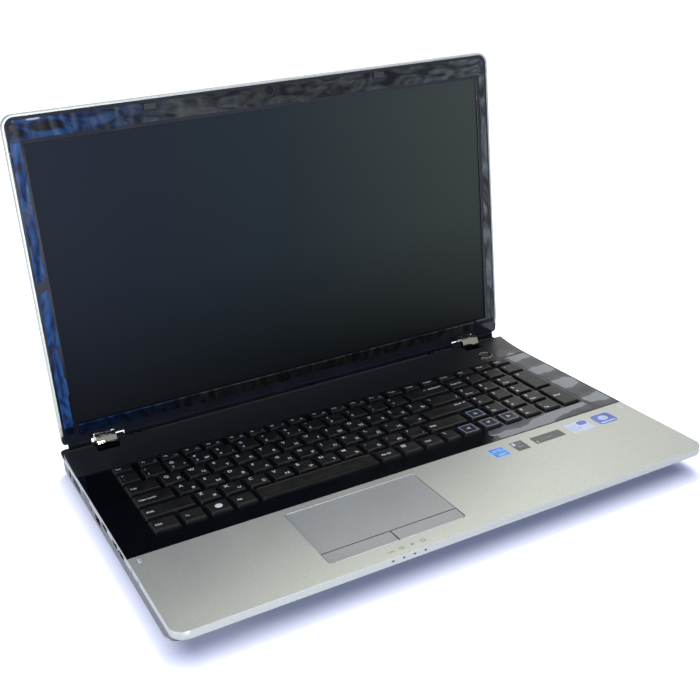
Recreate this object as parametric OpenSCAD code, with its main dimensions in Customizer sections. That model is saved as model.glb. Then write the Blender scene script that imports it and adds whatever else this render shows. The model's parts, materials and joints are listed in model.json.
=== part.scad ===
// An opened laptop computer with a wide screen, built as an assembly: the base with its keyboard,
// touchpad, drives and battery, and the lid with its screen on two friction hinges.
// X runs to the right, Y to the rear and Z up. Z = 0 is the table and Y = 0 the middle of the
// floor that the opened laptop covers. Inside the modules Y is counted from the base's front edge.

/* [Keyboard] */
// Distance from one key to the next across a row
key_pitch = 19.05; // [15.8:0.05:23]
// Distance from one row of keys to the next
row_pitch = 18.9; // [15.7:0.1:22.8]
// Depth of the short function row
function_row_d = 13.4; // [11:0.1:17]
// Gap between two key caps at their foot
key_gap = 3.0; // [2.4:0.1:4]
// Slot left open around each cap in the deck
key_slot = 0.4; // [0.3:0.05:0.6]
// How far the cap's sides lean in from foot to top
key_lean = 1.1; // [0.5:0.1:1.5]
// Height of the cap's top over the deck
key_proud = 1.9; // [1:0.1:2.2]
// How far a key goes down
key_travel = 2.0; // [1.5:0.1:2.2]

/* [Base] */
// Height of the palm rest over the table
base_h = 22; // [20:0.5:28]
// Deck left beside the keyboard on each side
side_margin = 23.9; // [20:0.1:32]
// Depth of the palm rest
palm_d = 91.5; // [88:0.5:115]
// Deck in front of the keyboard
deck_front = 17.6; // [8:0.1:24]
// Deck behind the keyboard
deck_rear = 2.0; // [1.5:0.1:6]
// Depth of the rising strip between the deck and the hinges
strip_d = 37.5; // [34:0.5:46]
// Rise of that strip at its rear edge
strip_rise = 3.2; // [1.5:0.1:3.2]
// Depth of the low shelf that carries the hinges
shelf_d = 17; // [16:0.5:22]
// Height of the silver band round the base
band_h = 5.6; // [5:0.1:7]
// Thickness of the top pieces
skin_t = 1.5; // [1.2:0.1:1.6]
// Thickness of the bottom case
case_wall = 2.0; // [1.6:0.1:2.4]
// Corner radius of the base seen from above
corner_r = 10; // [6:0.5:14]
// Height of the rubber feet
foot_h = 2.5; // [1.5:0.1:3.5]

/* [Lid] */
// Angle of the lid from closed
open_angle = 93; // [60:1:125]
// Inset of the lid from the base at each side
lid_inset = 1.35; // [0.5:0.05:3]
// Inset of the closed lid from the base's front edge
lid_front_inset = 4.2; // [1:0.1:8]
// Width of the bezel beside the screen
bezel_side = 12.5; // [9:0.1:18]
// Width of the bezel above the screen
bezel_top = 20.7; // [17:0.1:28]
// Height of the screen's lower edge over the hinge line
screen_rise = 20; // [18:0.1:26]
// Thickness of the lid from bezel face to back
lid_t = 8.4; // [8.2:0.1:10]
// Gap between the closed lid and the palm rest
closed_gap = 2.0; // [2:0.1:2.6]
// Corner radius of the lid
lid_corner_r = 9; // [5:0.5:12]
// Thickness of the lid's back cover
cover_t = 1.6; // [1.2:0.1:1.8]

/* [Hinges] */
// Distance of each hinge barrel's middle from the lid's side
hinge_from_side = 33; // [26:0.5:44]
// Radius of the bright hinge barrel
barrel_r = 6.5; // [6.2:0.1:6.6]
// Length of the hinge barrel
barrel_l = 16; // [13:0.5:20]
// Radius of the hinge shaft
shaft_r = 2.2; // [1.6:0.1:2.6]
// Running clearance round the shaft
shaft_play = 0.05; // [0.02:0.01:0.1]

/* [Touchpad] */
// Width of the touchpad
pad_w = 103; // [84:1:124]
// Depth of the touchpad with its buttons
pad_d = 69; // [60:0.5:74]
// Depth of the two buttons
pad_button_d = 13.4; // [10:0.1:18]
// Palm rest left in front of the buttons
pad_front = 15.3; // [10:0.1:16]
// Offset of the touchpad's middle to the left
pad_left = 45.8; // [30:0.1:60]

/* [Drives and battery] */
// Width of the battery
battery_w = 210; // [160:1:230]
// Depth of the battery
battery_d = 48; // [40:0.5:54]
// Width of the disc drive along the laptop's side
drive_w = 128; // [122:0.5:132]
// Depth of the disc drive into the base
drive_d = 127; // [124:0.5:130]
// Height of the disc drive
drive_h = 9.5; // [9.2:0.1:9.8]

/* [Hidden] */
$fn = 48;

// Widths of the keys of each row in key pitches, left to right; a negative width is a space.
main_units = 15.05;
function_row = [
    0.93, -0.13, 0.92, 0.92, 0.92, 0.92, -0.10, 0.92, 0.92, 0.92, 0.92, -0.12,
    0.92, 0.92, 0.92, 0.92, -0.06, 0.89, 0.89, 0.89, 1, 1, 1, 1
];
number_row = [0.95, 1, 1, 1, 1, 1, 1, 1, 1, 1, 1, 1, 1, 2.1, 1, 1, 1, 1];
tab_row = [1.4, 1, 1, 1, 1, 1, 1, 1, 1, 1, 1, 1, 1, 1.65, 1, 1, 1];
home_row = [1.65, 1, 1, 1, 1, 1, 1, 1, 1, 1, 1, 1, 2.4, 1, 1, 1];
shift_row = [2.1, 1, 1, 1, 1, 1, 1, 1, 1, 1, 1, 1.95, 1, 1, 1, 1];
bottom_row = [1.15, 1, 1, 1, 5.1, 1, 1, 1, 0.8, 1, 1, 1, 1, 1];
backspace_index = 13;
enter_index = 12;
space_index = 4;
numpad_last = main_units + 3;

// Base outline
keyboard_w = (main_units + 4) * key_pitch;
base_w = keyboard_w + 2 * side_margin;
half_w = base_w / 2;
keyboard_front = palm_d + deck_front;
keyboard_d = 5 * row_pitch + function_row_d;
deck_end = keyboard_front + keyboard_d + deck_rear;
strip_end = deck_end + strip_d;
base_d = strip_end + shelf_d;
under_skin = base_h - skin_t;
band_z = base_h - band_h;
band_wall = 2;
case_inset = 0.8;
case_half_w = half_w - case_inset;
floor_z = foot_h + case_wall;
front_lean = 30;
floor_front = case_inset + front_lean + case_wall;
front_foot_y = floor_front + 9.2;
rear_corner_r = 5;

// Rising strip, shelf and hinge line
bezel_n = 1.4;
strip_curve = strip_rise / (strip_d * strip_d);
shelf_z = under_skin;
shelf_under = shelf_z - skin_t;
hinge_back = 4.4;
hinge_y = strip_end + hinge_back;
hinge_z = base_h + closed_gap + bezel_n;
trough_front = 9.2;
trough_side = 1.5;
barrel_gap = 0.4;
trough_z = hinge_z - barrel_r - barrel_gap;

// Lid, counted from the hinge line
lid_half_w = half_w - lid_inset;
lid_back_n = bezel_n - lid_t;
lid_low = 3.6;
lid_h = hinge_y - lid_front_inset;
screen_half_w = lid_half_w - bezel_side;
screen_top = lid_h - bezel_top;
cover_rim_n = bezel_n - 0.4;
bezel_t = 1.5;
chin_n = -0.9;
bezel_fit = 0.15;
panel_t = 4;
panel_lap = 5;
inner_back_n = lid_back_n + cover_t;
open_depth = hinge_y + lid_h * sin(open_angle - 90) - lid_back_n * cos(open_angle - 90);
hinge_x = lid_half_w - hinge_from_side;

// Keyboard heights
plate_t = 0.8;
plate_top = base_h - 4;
cap_top = base_h + key_proud;
cap_low = plate_top + key_travel + 0.3;
skirt_t = 2;
skirt_gap = 1;

// Touchpad
pad_x = -pad_left;
pad_recess = 0.5;
pad_fit = 0.3;
pad_corner_r = 3;
pad_split = pad_front + pad_button_d;
pad_flange = 3;

// Power button
button_x = hinge_x;
button_run = 13;
button_y = deck_end + button_run;
button_z = base_h + strip_curve * button_run * button_run;
button_slope = atan(2 * strip_curve * button_run);
ring_r = 6.5;
ring_hole_r = 5.8;
button_r = 4.7;
button_fit = 0.3;

// Mainboard and what stands on it
board_t = 1.6;
board_top = base_h - 8.6;
board_z = board_top - board_t;
board_left = half_w - 18.9;
board_edge = half_w - 4.4;
port_face = case_half_w - case_wall;
boss_r = 3;
screw_r = 1.2;
screw_head_r = 2.3;
screw_head_h = 1.1;
screw_fit = 0.1;

// Ports on the left side: the power socket's place is set from the rear, and each next one from it
dc_y = base_d - 23.8;
vent_y = dc_y - 20.5;
vent_l = 21.3;
vga_y = vent_y - 33.7;
lan_y = vga_y - 25.5;
hdmi_y = lan_y - 22.5;
usb_ys = [hdmi_y - 40.5, hdmi_y - 25.5];
jack_ys = [usb_ys[0] - 37.7, usb_ys[0] - 24.1];
jack_z = base_h - 3.6;
jack_r = 1.8;
jack_depth = 12;
jack_bore = 13.5;
usb_w = 13.1;
usb_h = 5.5;
usb_d = 14;
usb_z = board_top + usb_h / 2;
hdmi_w = 15;
lan_w = 16;
lan_h = 11.5;
lan_low = board_top - 6.9;
lan_sill = 1.5;
lan_d = 16;
socket_w = 11.7;
socket_h = 8;
vga_w = 31;
vga_h = 11;
vga_low = board_top - 4.6;
vga_d = 13;
dc_w = 9;
dc_h = 9;
dc_r = 2.75;
dc_d = 12;
dc_low = floor_z + 2;
port_fit = 0.3;

// Drives, battery and cooling
battery_y = base_d - battery_d;
battery_fit = 0.4;
bay_wall = 1.6;
drive_to_bay = 3.5;
drive_y = battery_y - battery_fit - bay_wall - drive_to_bay - drive_w;
right_usb_y = drive_y - 20.5;
drive_z = floor_z + 0.5;
drive_x = case_half_w - 2 - drive_d;
drive_wall = 0.8;
tray_z = drive_z + 1.1;
tray_h = 6.4;
tray_fit = 0.5;
disc_r = 60.3;
disc_depth = 2;
eject_w = 6.4;
eject_h = 1.8;
eject_y = drive_y + drive_w - 45;
eject_travel = 0.5;
battery_top = band_z - 0.3;
rail_z = floor_z + 4.4;
rail_h = 1.6;
rail_reach = 2;
disk_w = 100;
disk_d = 69.85;
disk_h = 9.5;
disk_x = -half_w + 21.4;
disk_y = floor_front - 1.3;
speaker_y = floor_front + 1.2;
speaker_d = 18;
fan_x = -half_w + 49.5;
fan_y = vent_y - 13;
fan_size = 60;
fan_r = 26;
fan_z = floor_z + 0.5;
fan_h = board_top + 1.6 - fan_z;
board_front = palm_d + 11.5;
board_rear = fan_y - fan_size / 2 - 6.7;
spindle_r = 1.5;
spindle_play = 0.05;
cpu_x = -half_w + 145;
cpu_y = board_rear - 28;
cpu_size = 35;
cpu_h = 1.8;

// Service door in the floor and the battery's catch
door_w = 84;
door_d = 62;
door_x = cpu_x + 62;
door_y = board_front + 18.5;
latch_w = 18;
latch_d = 9;
latch_slide = 5;
latch_y = battery_y - battery_fit - bay_wall - latch_d - 2;

// Hinge brackets and the lens over the screen
bracket_screw_xs = [barrel_l / 2 + 17, barrel_l / 2 + 24];
lug_reach = barrel_l / 2 + 7;
lug_w = 6;
bracket_t = 1.5;
bracket_screw_y = hinge_y + 6;
bracket_head_h = 0.5;

// Lips of the bezel's lower edge, which hang behind the rising strip beside and between the hinges
lip_t = 1.6;
lip_drop = 1.2;
lip_fit = 0.15;
lip_in = hinge_x - lug_reach - 1;
lip_out = hinge_x + barrel_l / 2 + 2.5;
lip_end = lid_half_w - 4;
lip_spans = [[-lip_end, -lip_out], [-lip_in, lip_in], [lip_out, lip_end]];
lens_r = 3.1;
lens_s = lid_h - 6.8;

// Labels on the palm rest: middle from the base's centre line, width and depth
sticker_spots = [
    [75.3, 13.6, 14.4], [94, 11, 13.6], [120.2, 27.4, 10.4], [150.4, 20.5, 15], [174.8, 17.6, 15.6]
];

// Lights in the front wall, spaced from the touchpad's middle
light_step = 8;
light_w = 1.8;
light_h = 1.1;
light_z = base_h - 2.7;

screw_rows = [board_front + 4.5, board_rear - 16];
screw_spots = [
    [-half_w + 25, screw_rows[0]], [-half_w + 25, screw_rows[1]],
    [-half_w + 110, screw_rows[0]], [-half_w + 110, screw_rows[1]],
    [drive_x - 9, screw_rows[0]], [drive_x - 9, screw_rows[1]]
];

// Moves a piece from front-edge coordinates into the frame of the part.
module place() {
    translate([0, -open_depth / 2, 0]) children();
}

// Moves a piece of the lid to the opened lid: X across, Y up the lid, Z out of the screen.
module on_lid() {
    place() translate([0, hinge_y, hinge_z]) rotate([180 - open_angle, 0, 0]) children();
}

// A block between two corners.
module block(low, high) {
    translate(low) cube(high - low);
}

// A flat outline with its own radius at the low and at the high corners.
module rounded_outline(low, high, r_low, r_high) {
    difference() {
        translate(low) square(high - low);
        for (side = [0, 1]) {
            cut_corner([side ? high[0] : low[0], low[1]], [side ? -1 : 1, 1], r_low);
            cut_corner([side ? high[0] : low[0], high[1]], [side ? -1 : 1, -1], r_high);
        }
    }
}

// What a round corner takes off a square one.
module cut_corner(corner, into, r) {
    translate(corner) scale([into[0], into[1]]) difference() {
        translate([-1, -1]) square(r + 1);
        translate([r, r]) circle(r);
    }
}

// A slab with rounded corners between two heights.
module rounded_slab(low, high, r_low, r_high, z0, z1) {
    translate([0, 0, z0]) linear_extrude(z1 - z0) rounded_outline(low, high, r_low, r_high);
}

// A profile drawn over Y and Z, drawn out along X.
module along_x(x0, x1) {
    translate([x0, 0, 0]) rotate([90, 0, 90]) linear_extrude(x1 - x0) children();
}

// A cylinder along X from one place to another.
module bar_x(x0, x1, r) {
    translate([x0, 0, 0]) rotate([0, 90, 0]) cylinder(h = x1 - x0, r = r);
}

// The base's outline, inset all round, between two heights.
module base_slab(inset, z0, z1) {
    r = corner_r - inset;
    rear_r = max(rear_corner_r - inset, 1);
    low = [-half_w + inset, inset];
    high = [half_w - inset, base_d - inset];
    rounded_slab(low, high, r, rear_r, z0, z1);
}

// Key places: the left side of key i of a row, the row's front edge and a row's depth.
function units_before(row, i) = i == 0 ? 0 : abs(row[i - 1]) + units_before(row, i - 1);
function key_x(units) = -keyboard_w / 2 + units * key_pitch;
function row_y(r) = keyboard_front + r * row_pitch;
function row_depth(r) = r == 5 ? function_row_d : row_pitch;

// One key cap: straight foot and a top that leans in on all sides.
module cap(units, width, r, rows = 1) {
    foot_w = width * key_pitch - key_gap;
    foot_d = (rows == 1 ? row_depth(r) : rows * row_pitch) - key_gap;
    middle = [key_x(units) + key_gap / 2 + foot_w / 2, row_y(r) + key_gap / 2 + foot_d / 2];
    translate([middle[0], middle[1], cap_low]) intersection() {
        rotate([90, 0, 0]) linear_extrude(foot_d, center = true) leaning_sides(foot_w);
        rotate([90, 0, 90]) linear_extrude(foot_w, center = true) leaning_sides(foot_d);
    }
}

// A cap seen from one side: upright at its foot, then leaning in to its top.
module leaning_sides(w) {
    h = cap_top - cap_low;
    foot = h - key_proud;
    polygon([
        [-w / 2, 0], [w / 2, 0], [w / 2, foot], [w / 2 - key_lean, h],
        [-w / 2 + key_lean, h], [-w / 2, foot]
    ]);
}

// The slot of one key through the deck.
module cap_slot(units, width, r, rows = 1) {
    edge = key_gap / 2 - key_slot;
    depth = rows == 1 ? row_depth(r) : rows * row_pitch;
    low = [key_x(units) + edge, row_y(r) + edge, under_skin - 1];
    high = [key_x(units + width) - edge, row_y(r) + depth - edge, base_h + 1];
    block(low, high);
}

// All the caps of a row but one, or one cap of a row.
module row_of_caps(row, r, but = -1) {
    for (i = [0 : len(row) - 1])
        if (row[i] > 0 && i != but) cap(units_before(row, i), row[i], r);
}

module row_of_slots(row, r) {
    for (i = [0 : len(row) - 1])
        if (row[i] > 0) cap_slot(units_before(row, i), row[i], r);
}

module single_cap(row, r, i) {
    cap(units_before(row, i), row[i], r);
}

// Holes for the ports of the left side, one size larger than each port.
module left_port_holes() {
    deep = band_wall + 2;
    for (y = usb_ys) side_hole(y, usb_w, usb_z, usb_h, deep);
    side_hole(hdmi_y, hdmi_w, usb_z, usb_h, deep);
    side_hole(lan_y, socket_w + 1, lan_low + lan_sill + socket_h / 2, socket_h, deep);
    side_hole(vga_y, vga_w - 12, vga_low + vga_h / 2, vga_h - 2, deep);
    for (y = jack_ys) translate([0, y, jack_z]) bar_x(-half_w - 1, -half_w + deep, jack_r);
    translate([0, dc_y, dc_low + dc_h / 2]) bar_x(-half_w - 1, -half_w + deep + 1, dc_r + 1);
    for (i = [0 : 5])
        side_hole(vent_y - vent_l / 2 + (i + 0.5) * vent_l / 6, 2.2, base_h - 10, 9, deep);
}

module side_hole(y, w, z, h, deep) {
    low = [-half_w - 1, y - w / 2 - port_fit, z - h / 2 - port_fit];
    high = [-half_w + deep, y + w / 2 + port_fit, z + h / 2 + port_fit];
    block(low, high);
}

// A port's metal shell with its mouth at the left wall.
module port_shell(y, w, z, h, d, wall) {
    difference() {
        block([-port_face, y - w / 2, z - h / 2], [-port_face + d, y + w / 2, z + h / 2]);
        low = [-port_face - 1, y - w / 2 + wall, z - h / 2 + wall];
        high = [-port_face + d - 2, y + w / 2 - wall, z + h / 2 - wall];
        block(low, high);
    }
}

// Outline of the bottom case over Y and Z: the front leans in, the rear stands straight.
module case_profile(inset) {
    polygon([
        [case_inset + inset, band_z + 1], [case_inset + inset, band_z],
        [case_inset + front_lean + inset, foot_h + inset], [base_d - case_inset - inset, foot_h + inset],
        [base_d - case_inset - inset, band_z + 1]
    ]);
}

// Solid form of the bottom case, inset on all sides for its hollow.
module case_form(inset, top) {
    chamfer = 2;
    edge = case_half_w - inset;
    intersection() {
        base_slab(case_inset + inset, foot_h + inset, top);
        along_x(-half_w, half_w) case_profile(inset);
        translate([0, base_d, 0]) rotate([90, 0, 0]) linear_extrude(base_d) polygon([
            [-edge, top], [-edge, foot_h + inset + chamfer], [-edge + chamfer, foot_h + inset],
            [edge - chamfer, foot_h + inset], [edge, foot_h + inset + chamfer], [edge, top]
        ]);
    }
}

module bottom_case() {
    bay_x = battery_w / 2 + battery_fit;
    bay_front = battery_y - battery_fit;
    place() color("#1a1b1c") difference() {
        union() {
            difference() {
                case_form(0, band_z);
                case_form(case_wall, band_z + 1);
            }
            intersection() {
                case_form(0.5, band_z);
                union() {
                    block([-bay_x - bay_wall, bay_front - bay_wall, foot_h],
                          [bay_x + bay_wall, base_d, band_z]);
                    for (s = screw_spots)
                        translate([s[0], s[1], foot_h]) cylinder(h = board_z - foot_h, r = boss_r);
                    right_usb_seat();
                    disk_seats();
                    port_seats();
                }
            }
        }
        difference() {
            block([-bay_x, bay_front, foot_h - 1], [bay_x, base_d + 1, band_z + 1]);
            for (side = [-1, 1]) battery_rail(side, 0);
        }
        block([-latch_w / 2 - port_fit, latch_y - port_fit, foot_h - 1],
              [latch_w / 2 + latch_slide + port_fit, bay_front + 1, floor_z + 1]);
        left_port_holes();
        right_holes();
        door_hole();
        floor_grille();
        for (s = screw_spots) translate([s[0], s[1], foot_h - 1]) {
            cylinder(h = base_h, r = screw_r + screw_fit);
            cylinder(h = 1 + screw_head_h + screw_fit, r = screw_head_r + screw_fit);
        }
    }
}

// The battery slides on a rail at each side of its bay.
module battery_rail(side, play) {
    reach = rail_reach + play;
    outer = battery_w / 2 + battery_fit + (play > 0 ? 1 : 0);
    inner = battery_w / 2 + battery_fit - reach;
    low = [side > 0 ? inner : -outer, battery_y + 2 - (play > 0 ? 10 : 0), rail_z - play];
    high = [side > 0 ? outer : -inner, base_d - 12 + play, rail_z + rail_h + play];
    block(low, high);
}

// Seats for the hard disk, which is held at its four corners.
module disk_seats() {
    for (x = [disk_x + 8, disk_x + disk_w - 8], y = [disk_y + 8, disk_y + disk_d - 8])
        translate([x, y, foot_h]) cylinder(h = floor_z + 1 - foot_h, r = 4);
}

// Pillars under the heavier ports.
module port_seats() {
    block([-port_face + 2, lan_y - 5, foot_h], [-port_face + lan_d, lan_y + 5, lan_low]);
    block([-port_face + 2, vga_y - 10, foot_h], [-port_face + vga_d, vga_y + 10, vga_low]);
    block([-port_face + 2, dc_y - dc_w / 2, foot_h], [-port_face + dc_d, dc_y + dc_w / 2, dc_low]);
}

module right_usb_seat() {
    low = [port_face - usb_d, right_usb_y - usb_w / 2, foot_h];
    block(low, [port_face - case_wall, right_usb_y + usb_w / 2, board_top]);
}

// Mouths of the disc drive, the right port and the lock slot.
module right_holes() {
    y0 = drive_y - port_fit;
    y1 = drive_y + drive_w + port_fit;
    block([case_half_w - 4, y0, drive_z - port_fit], [half_w + 1, y1, drive_z + drive_h + port_fit]);
    low = [half_w - band_wall - 2, right_usb_y - usb_w / 2 - port_fit, board_top - port_fit];
    block(low, [half_w + 1, right_usb_y + usb_w / 2 + port_fit, board_top + usb_h + port_fit]);
    block([half_w - 4, base_d - 20, base_h - 12.5], [half_w + 1, base_d - 13, base_h - 9.5]);
}

// Opening in the floor under the memory, with a ledge left for the door.
module door_hole() {
    ledge = 3;
    low = [door_x - door_w / 2, door_y - door_d / 2];
    high = [door_x + door_w / 2, door_y + door_d / 2];
    rounded_slab(low, high, 3, 3, foot_h - 1, floor_z - 0.9);
    rounded_slab(low + [ledge, ledge], high - [ledge, ledge], 2, 2, foot_h - 1, floor_z + 1);
}

// Slots in the floor under the fan.
module floor_grille() {
    slots = 9;
    step = 5;
    for (i = [0 : slots - 1])
        block([fan_x - 20, fan_y + (i - (slots - 1) / 2) * step - 1.2, foot_h - 1],
              [fan_x + 20, fan_y + (i - (slots - 1) / 2) * step + 1.2, floor_z + 1]);
}

module service_door() {
    fit = 0.2;
    low = [door_x - door_w / 2 + fit, door_y - door_d / 2 + fit];
    high = [door_x + door_w / 2 - fit, door_y + door_d / 2 - fit];
    place() color("#1a1b1c") rounded_slab(low, high, 3, 3, foot_h, floor_z - 0.9);
}

// The painted top shell: the palm rest and the band round the whole base.
module palm_rest() {
    place() color("#b4b6ae") difference() {
        base_slab(0, band_z, base_h);
        difference() {
            base_slab(band_wall, band_z - 1, under_skin);
            for (x = [-1, 1]) translate([x * (half_w - 60), 30, under_skin - 3]) cylinder(h = 4, r = boss_r);
        }
        block([-half_w - 1, palm_d, under_skin], [half_w + 1, base_d + 1, base_h + 1]);
        block([-half_w - 1, strip_end - skin_t, shelf_under], [half_w + 1, base_d + 1, base_h + 1]);
        pad_opening(0, under_skin - 1, base_h + 1);
        left_port_holes();
        right_holes();
        light_places(0.05, band_wall + 1);
    }
}

// The touchpad's rounded opening.
module pad_opening(inset, z0, z1) {
    low = [pad_x - pad_w / 2 + inset, pad_front + inset];
    high = [pad_x + pad_w / 2 - inset, pad_front + pad_d - inset];
    rounded_slab(low, high, pad_corner_r, pad_corner_r, z0, z1);
}

// Places of the four status lights in the front wall.
module light_places(fit, deep) {
    for (i = [0 : 3]) {
        x = pad_x - 1.5 * light_step - 2.3 + i * light_step;
        low = [x - light_w / 2 - fit, fit > 0 ? -1 : 0, light_z - light_h / 2 - fit];
        high = [x + light_w / 2 + fit, deep, light_z + light_h / 2 + fit];
        block(low, high);
    }
}

module status_lights() {
    place() color("#30343a") light_places(0, band_wall + 1.5);
}

// The gloss deck with one slot for each key and a skirt that the keyboard's plate hangs from.
module keyboard_deck() {
    x = keyboard_w / 2 + skirt_gap;
    y0 = keyboard_front - skirt_gap;
    y1 = keyboard_front + keyboard_d;
    place() color("#0c0d10") difference() {
        union() {
            block([-half_w, palm_d, under_skin], [half_w, deck_end, base_h]);
            difference() {
                block([-x - skirt_t, y0 - skirt_t, plate_top], [x + skirt_t, y1 + skirt_t, base_h - 0.5]);
                block([-x, y0, plate_top - 1], [x, y1, base_h]);
            }
        }
        row_of_slots(bottom_row, 0);
        row_of_slots(shift_row, 1);
        row_of_slots(home_row, 2);
        row_of_slots(tab_row, 3);
        row_of_slots(number_row, 4);
        row_of_slots(function_row, 5);
        cap_slot(numpad_last, 1, 2, rows = 2);
        cap_slot(numpad_last, 1, 0, rows = 2);
    }
}

module keyboard_plate() {
    x = keyboard_w / 2 + skirt_gap + skirt_t;
    low = [-x, keyboard_front - skirt_gap - skirt_t, plate_top - plate_t];
    high = [x, keyboard_front + keyboard_d + skirt_t, plate_top];
    place() color("#8a8d90") block(low, high);
}

module keys_function_row() {
    place() color("#17181a") row_of_caps(function_row, 5);
}

module keys_number_row() {
    place() color("#17181a") row_of_caps(number_row, 4, backspace_index);
}

module keys_tab_row() {
    place() color("#17181a") row_of_caps(tab_row, 3);
}

module keys_home_row() {
    place() color("#17181a") row_of_caps(home_row, 2, enter_index);
}

module keys_shift_row() {
    place() color("#17181a") row_of_caps(shift_row, 1);
}

module keys_bottom_row() {
    place() color("#17181a") row_of_caps(bottom_row, 0, space_index);
}

module space_bar() {
    place() color("#17181a") single_cap(bottom_row, 0, space_index);
}

module enter_key() {
    place() color("#17181a") single_cap(home_row, 2, enter_index);
}

module backspace_key() {
    place() color("#17181a") single_cap(number_row, 4, backspace_index);
}

module numpad_plus_key() {
    place() color("#17181a") cap(numpad_last, 1, 2, rows = 2);
}

module numpad_enter_key() {
    place() color("#17181a") cap(numpad_last, 1, 0, rows = 2);
}

// Height of the strip's top at a distance behind the deck.
function strip_z(run) = base_h + strip_curve * run * run;

// The strip's section: a rising curve, a step down and the shelf, all of one thickness.
module strip_section() {
    steps = 12;
    run = strip_d / steps;
    top = [for (i = [0 : steps]) [deck_end + i * run, strip_z(i * run)]];
    inner_run = (strip_d - skin_t) / steps;
    inner = [for (i = [steps : -1 : 0]) [deck_end + i * inner_run, strip_z(i * inner_run) - skin_t]];
    polygon(concat(
        top,
        [[strip_end, shelf_z], [base_d, shelf_z], [base_d, shelf_under], [strip_end - skin_t, shelf_under]],
        inner
    ));
}

// The strip's closed end walls fill the section under the curve.
module strip_end_section() {
    steps = 12;
    run = strip_d / steps;
    top = [for (i = [0 : steps]) [deck_end + i * run, strip_z(i * run)]];
    polygon(concat(top, [[strip_end, under_skin], [deck_end, under_skin]]));
}

module rear_strip() {
    inner_x = barrel_l / 2 + 1.5;
    place() color("#1e201f") difference() {
        intersection() {
            union() {
                along_x(-half_w, half_w) strip_section();
                for (side = [-1, 1]) {
                    along_x(side > 0 ? half_w - 1.5 : -half_w, side > 0 ? half_w : -half_w + 1.5)
                        strip_end_section();
                    trough(side, inner_x + trough_side, trough_side, trough_z - trough_side);
                }
            }
            base_slab(0, 0, base_h * 2);
        }
        for (side = [-1, 1]) trough(side, inner_x, 0, trough_z);
        translate([button_x, button_y, button_z]) rotate([button_slope, 0, 0])
            translate([0, 0, -5]) cylinder(h = 10, r = ring_hole_r + 0.1);
        for (side = [-1, 1]) bracket_screws(side, screw_r + screw_fit, 4);
    }
}

// The pocket that each hinge barrel turns in, or the block that it is cut from.
module trough(side, reach, wall, z0) {
    y0 = strip_end - trough_front - wall;
    y1 = hinge_y + barrel_r + 1.1 + wall;
    profile = wall > 0
        ? [[y0, z0], [y1, z0], [y1, shelf_z], [strip_end, shelf_z], [strip_end, strip_z(strip_d)],
           [y0, strip_z(strip_d - trough_front - wall)]]
        : [[y0, z0], [y1, z0], [y1, base_h * 2], [y0, base_h * 2]];
    along_x(side * hinge_x - reach, side * hinge_x + reach) polygon(profile);
}

module power_button_place() {
    place() translate([button_x, button_y, button_z]) rotate([button_slope, 0, 0]) children();
}

module power_button_ring() {
    inner = button_r + button_fit;
    power_button_place() color("#d0d2d4") rotate_extrude() polygon([
        [inner, -2.6], [ring_hole_r, -2.6], [ring_hole_r, 0.12], [ring_r, 0.12],
        [ring_r, 0.5], [ring_r - 0.4, 0.9], [inner + 0.3, 0.9], [inner, 0.6]
    ]);
}

module power_button() {
    power_button_place() color("#141517") rotate_extrude() polygon([
        [0, -2.2], [button_r, -2.2], [button_r, 0.3], [button_r - 0.4, 0.6],
        [button_r - 1.6, 0.35], [0, 0.25]
    ]);
}

module touchpad() {
    place() color("#9fa196") union() {
        intersection() {
            pad_opening(pad_fit, under_skin - 0.4, base_h - pad_recess);
            block([-half_w, pad_split + pad_fit, 0], [half_w, palm_d, base_h]);
        }
        low = [pad_x - pad_w / 2 - pad_flange, pad_split + 3 * pad_fit];
        high = [pad_x + pad_w / 2 + pad_flange, pad_front + pad_d + pad_flange];
        rounded_slab(low, high, 1, 1, under_skin - 1.2, under_skin);
    }
}

module touchpad_button(x0, x1) {
    place() color("#9fa196") intersection() {
        pad_opening(pad_fit, under_skin - 0.6, base_h - pad_recess + 0.1);
        block([x0, 0, 0], [x1, pad_split - pad_fit, base_h]);
    }
}

module touchpad_button_left() {
    touchpad_button(pad_x - pad_w, pad_x - pad_fit);
}

module touchpad_button_right() {
    touchpad_button(pad_x + pad_fit, pad_x + pad_w);
}

// Five paper labels on the palm rest, right of the touchpad.
module stickers() {
    t = 0.12;
    place() color("#8fa6c8") for (s = sticker_spots) {
        low = [s[0] - s[1] / 2, palm_d - 15.5 - s[2] / 2];
        rounded_slab(low, low + [s[1], s[2]], 1.2, 1.2, base_h, base_h + t);
    }
}

module mainboard() {
    right = drive_x - 3;
    low = [-board_left, board_front];
    place() color("#1f5a34") difference() {
        union() {
            block([low[0], low[1], board_z], [right, board_rear, board_top]);
            block([-board_edge, jack_ys[0] - 6, board_z], [low[0] + 1, hdmi_y + 10, board_top]);
            block([fan_x + fan_size / 2 + 8, board_rear - 1, board_z], [right, battery_y - 6, board_top]);
            block([door_x - 36, door_y + 15, board_z - 4.4], [door_x + 36, door_y + 21, board_z]);
            block([door_x - 20, door_y - 20, board_z - 3], [door_x + 14, door_y - 16, board_z]);
        }
        for (s = screw_spots)
            translate([s[0], s[1], board_z - 1]) cylinder(h = board_t + 2, r = screw_r + screw_fit);
    }
}

module memory_module() {
    z = board_z - 3;
    place() color("#20633c") union() {
        block([door_x - 33.8, door_y - 15, z], [door_x + 33.8, door_y + 15, z + 1.2]);
        for (i = [-1.5 : 1 : 1.5])
            block([door_x + i * 16 - 6, door_y - 8, z - 1], [door_x + i * 16 + 6, door_y + 4, z]);
    }
}

module wireless_card() {
    z = board_z - 2.2;
    place() color("#2a6a44") union() {
        block([door_x - 18, door_y - 47, z], [door_x + 12, door_y - 20, z + 1]);
        block([door_x - 14, door_y - 42, z - 1.4], [door_x + 8, door_y - 26, z]);
    }
}

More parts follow.
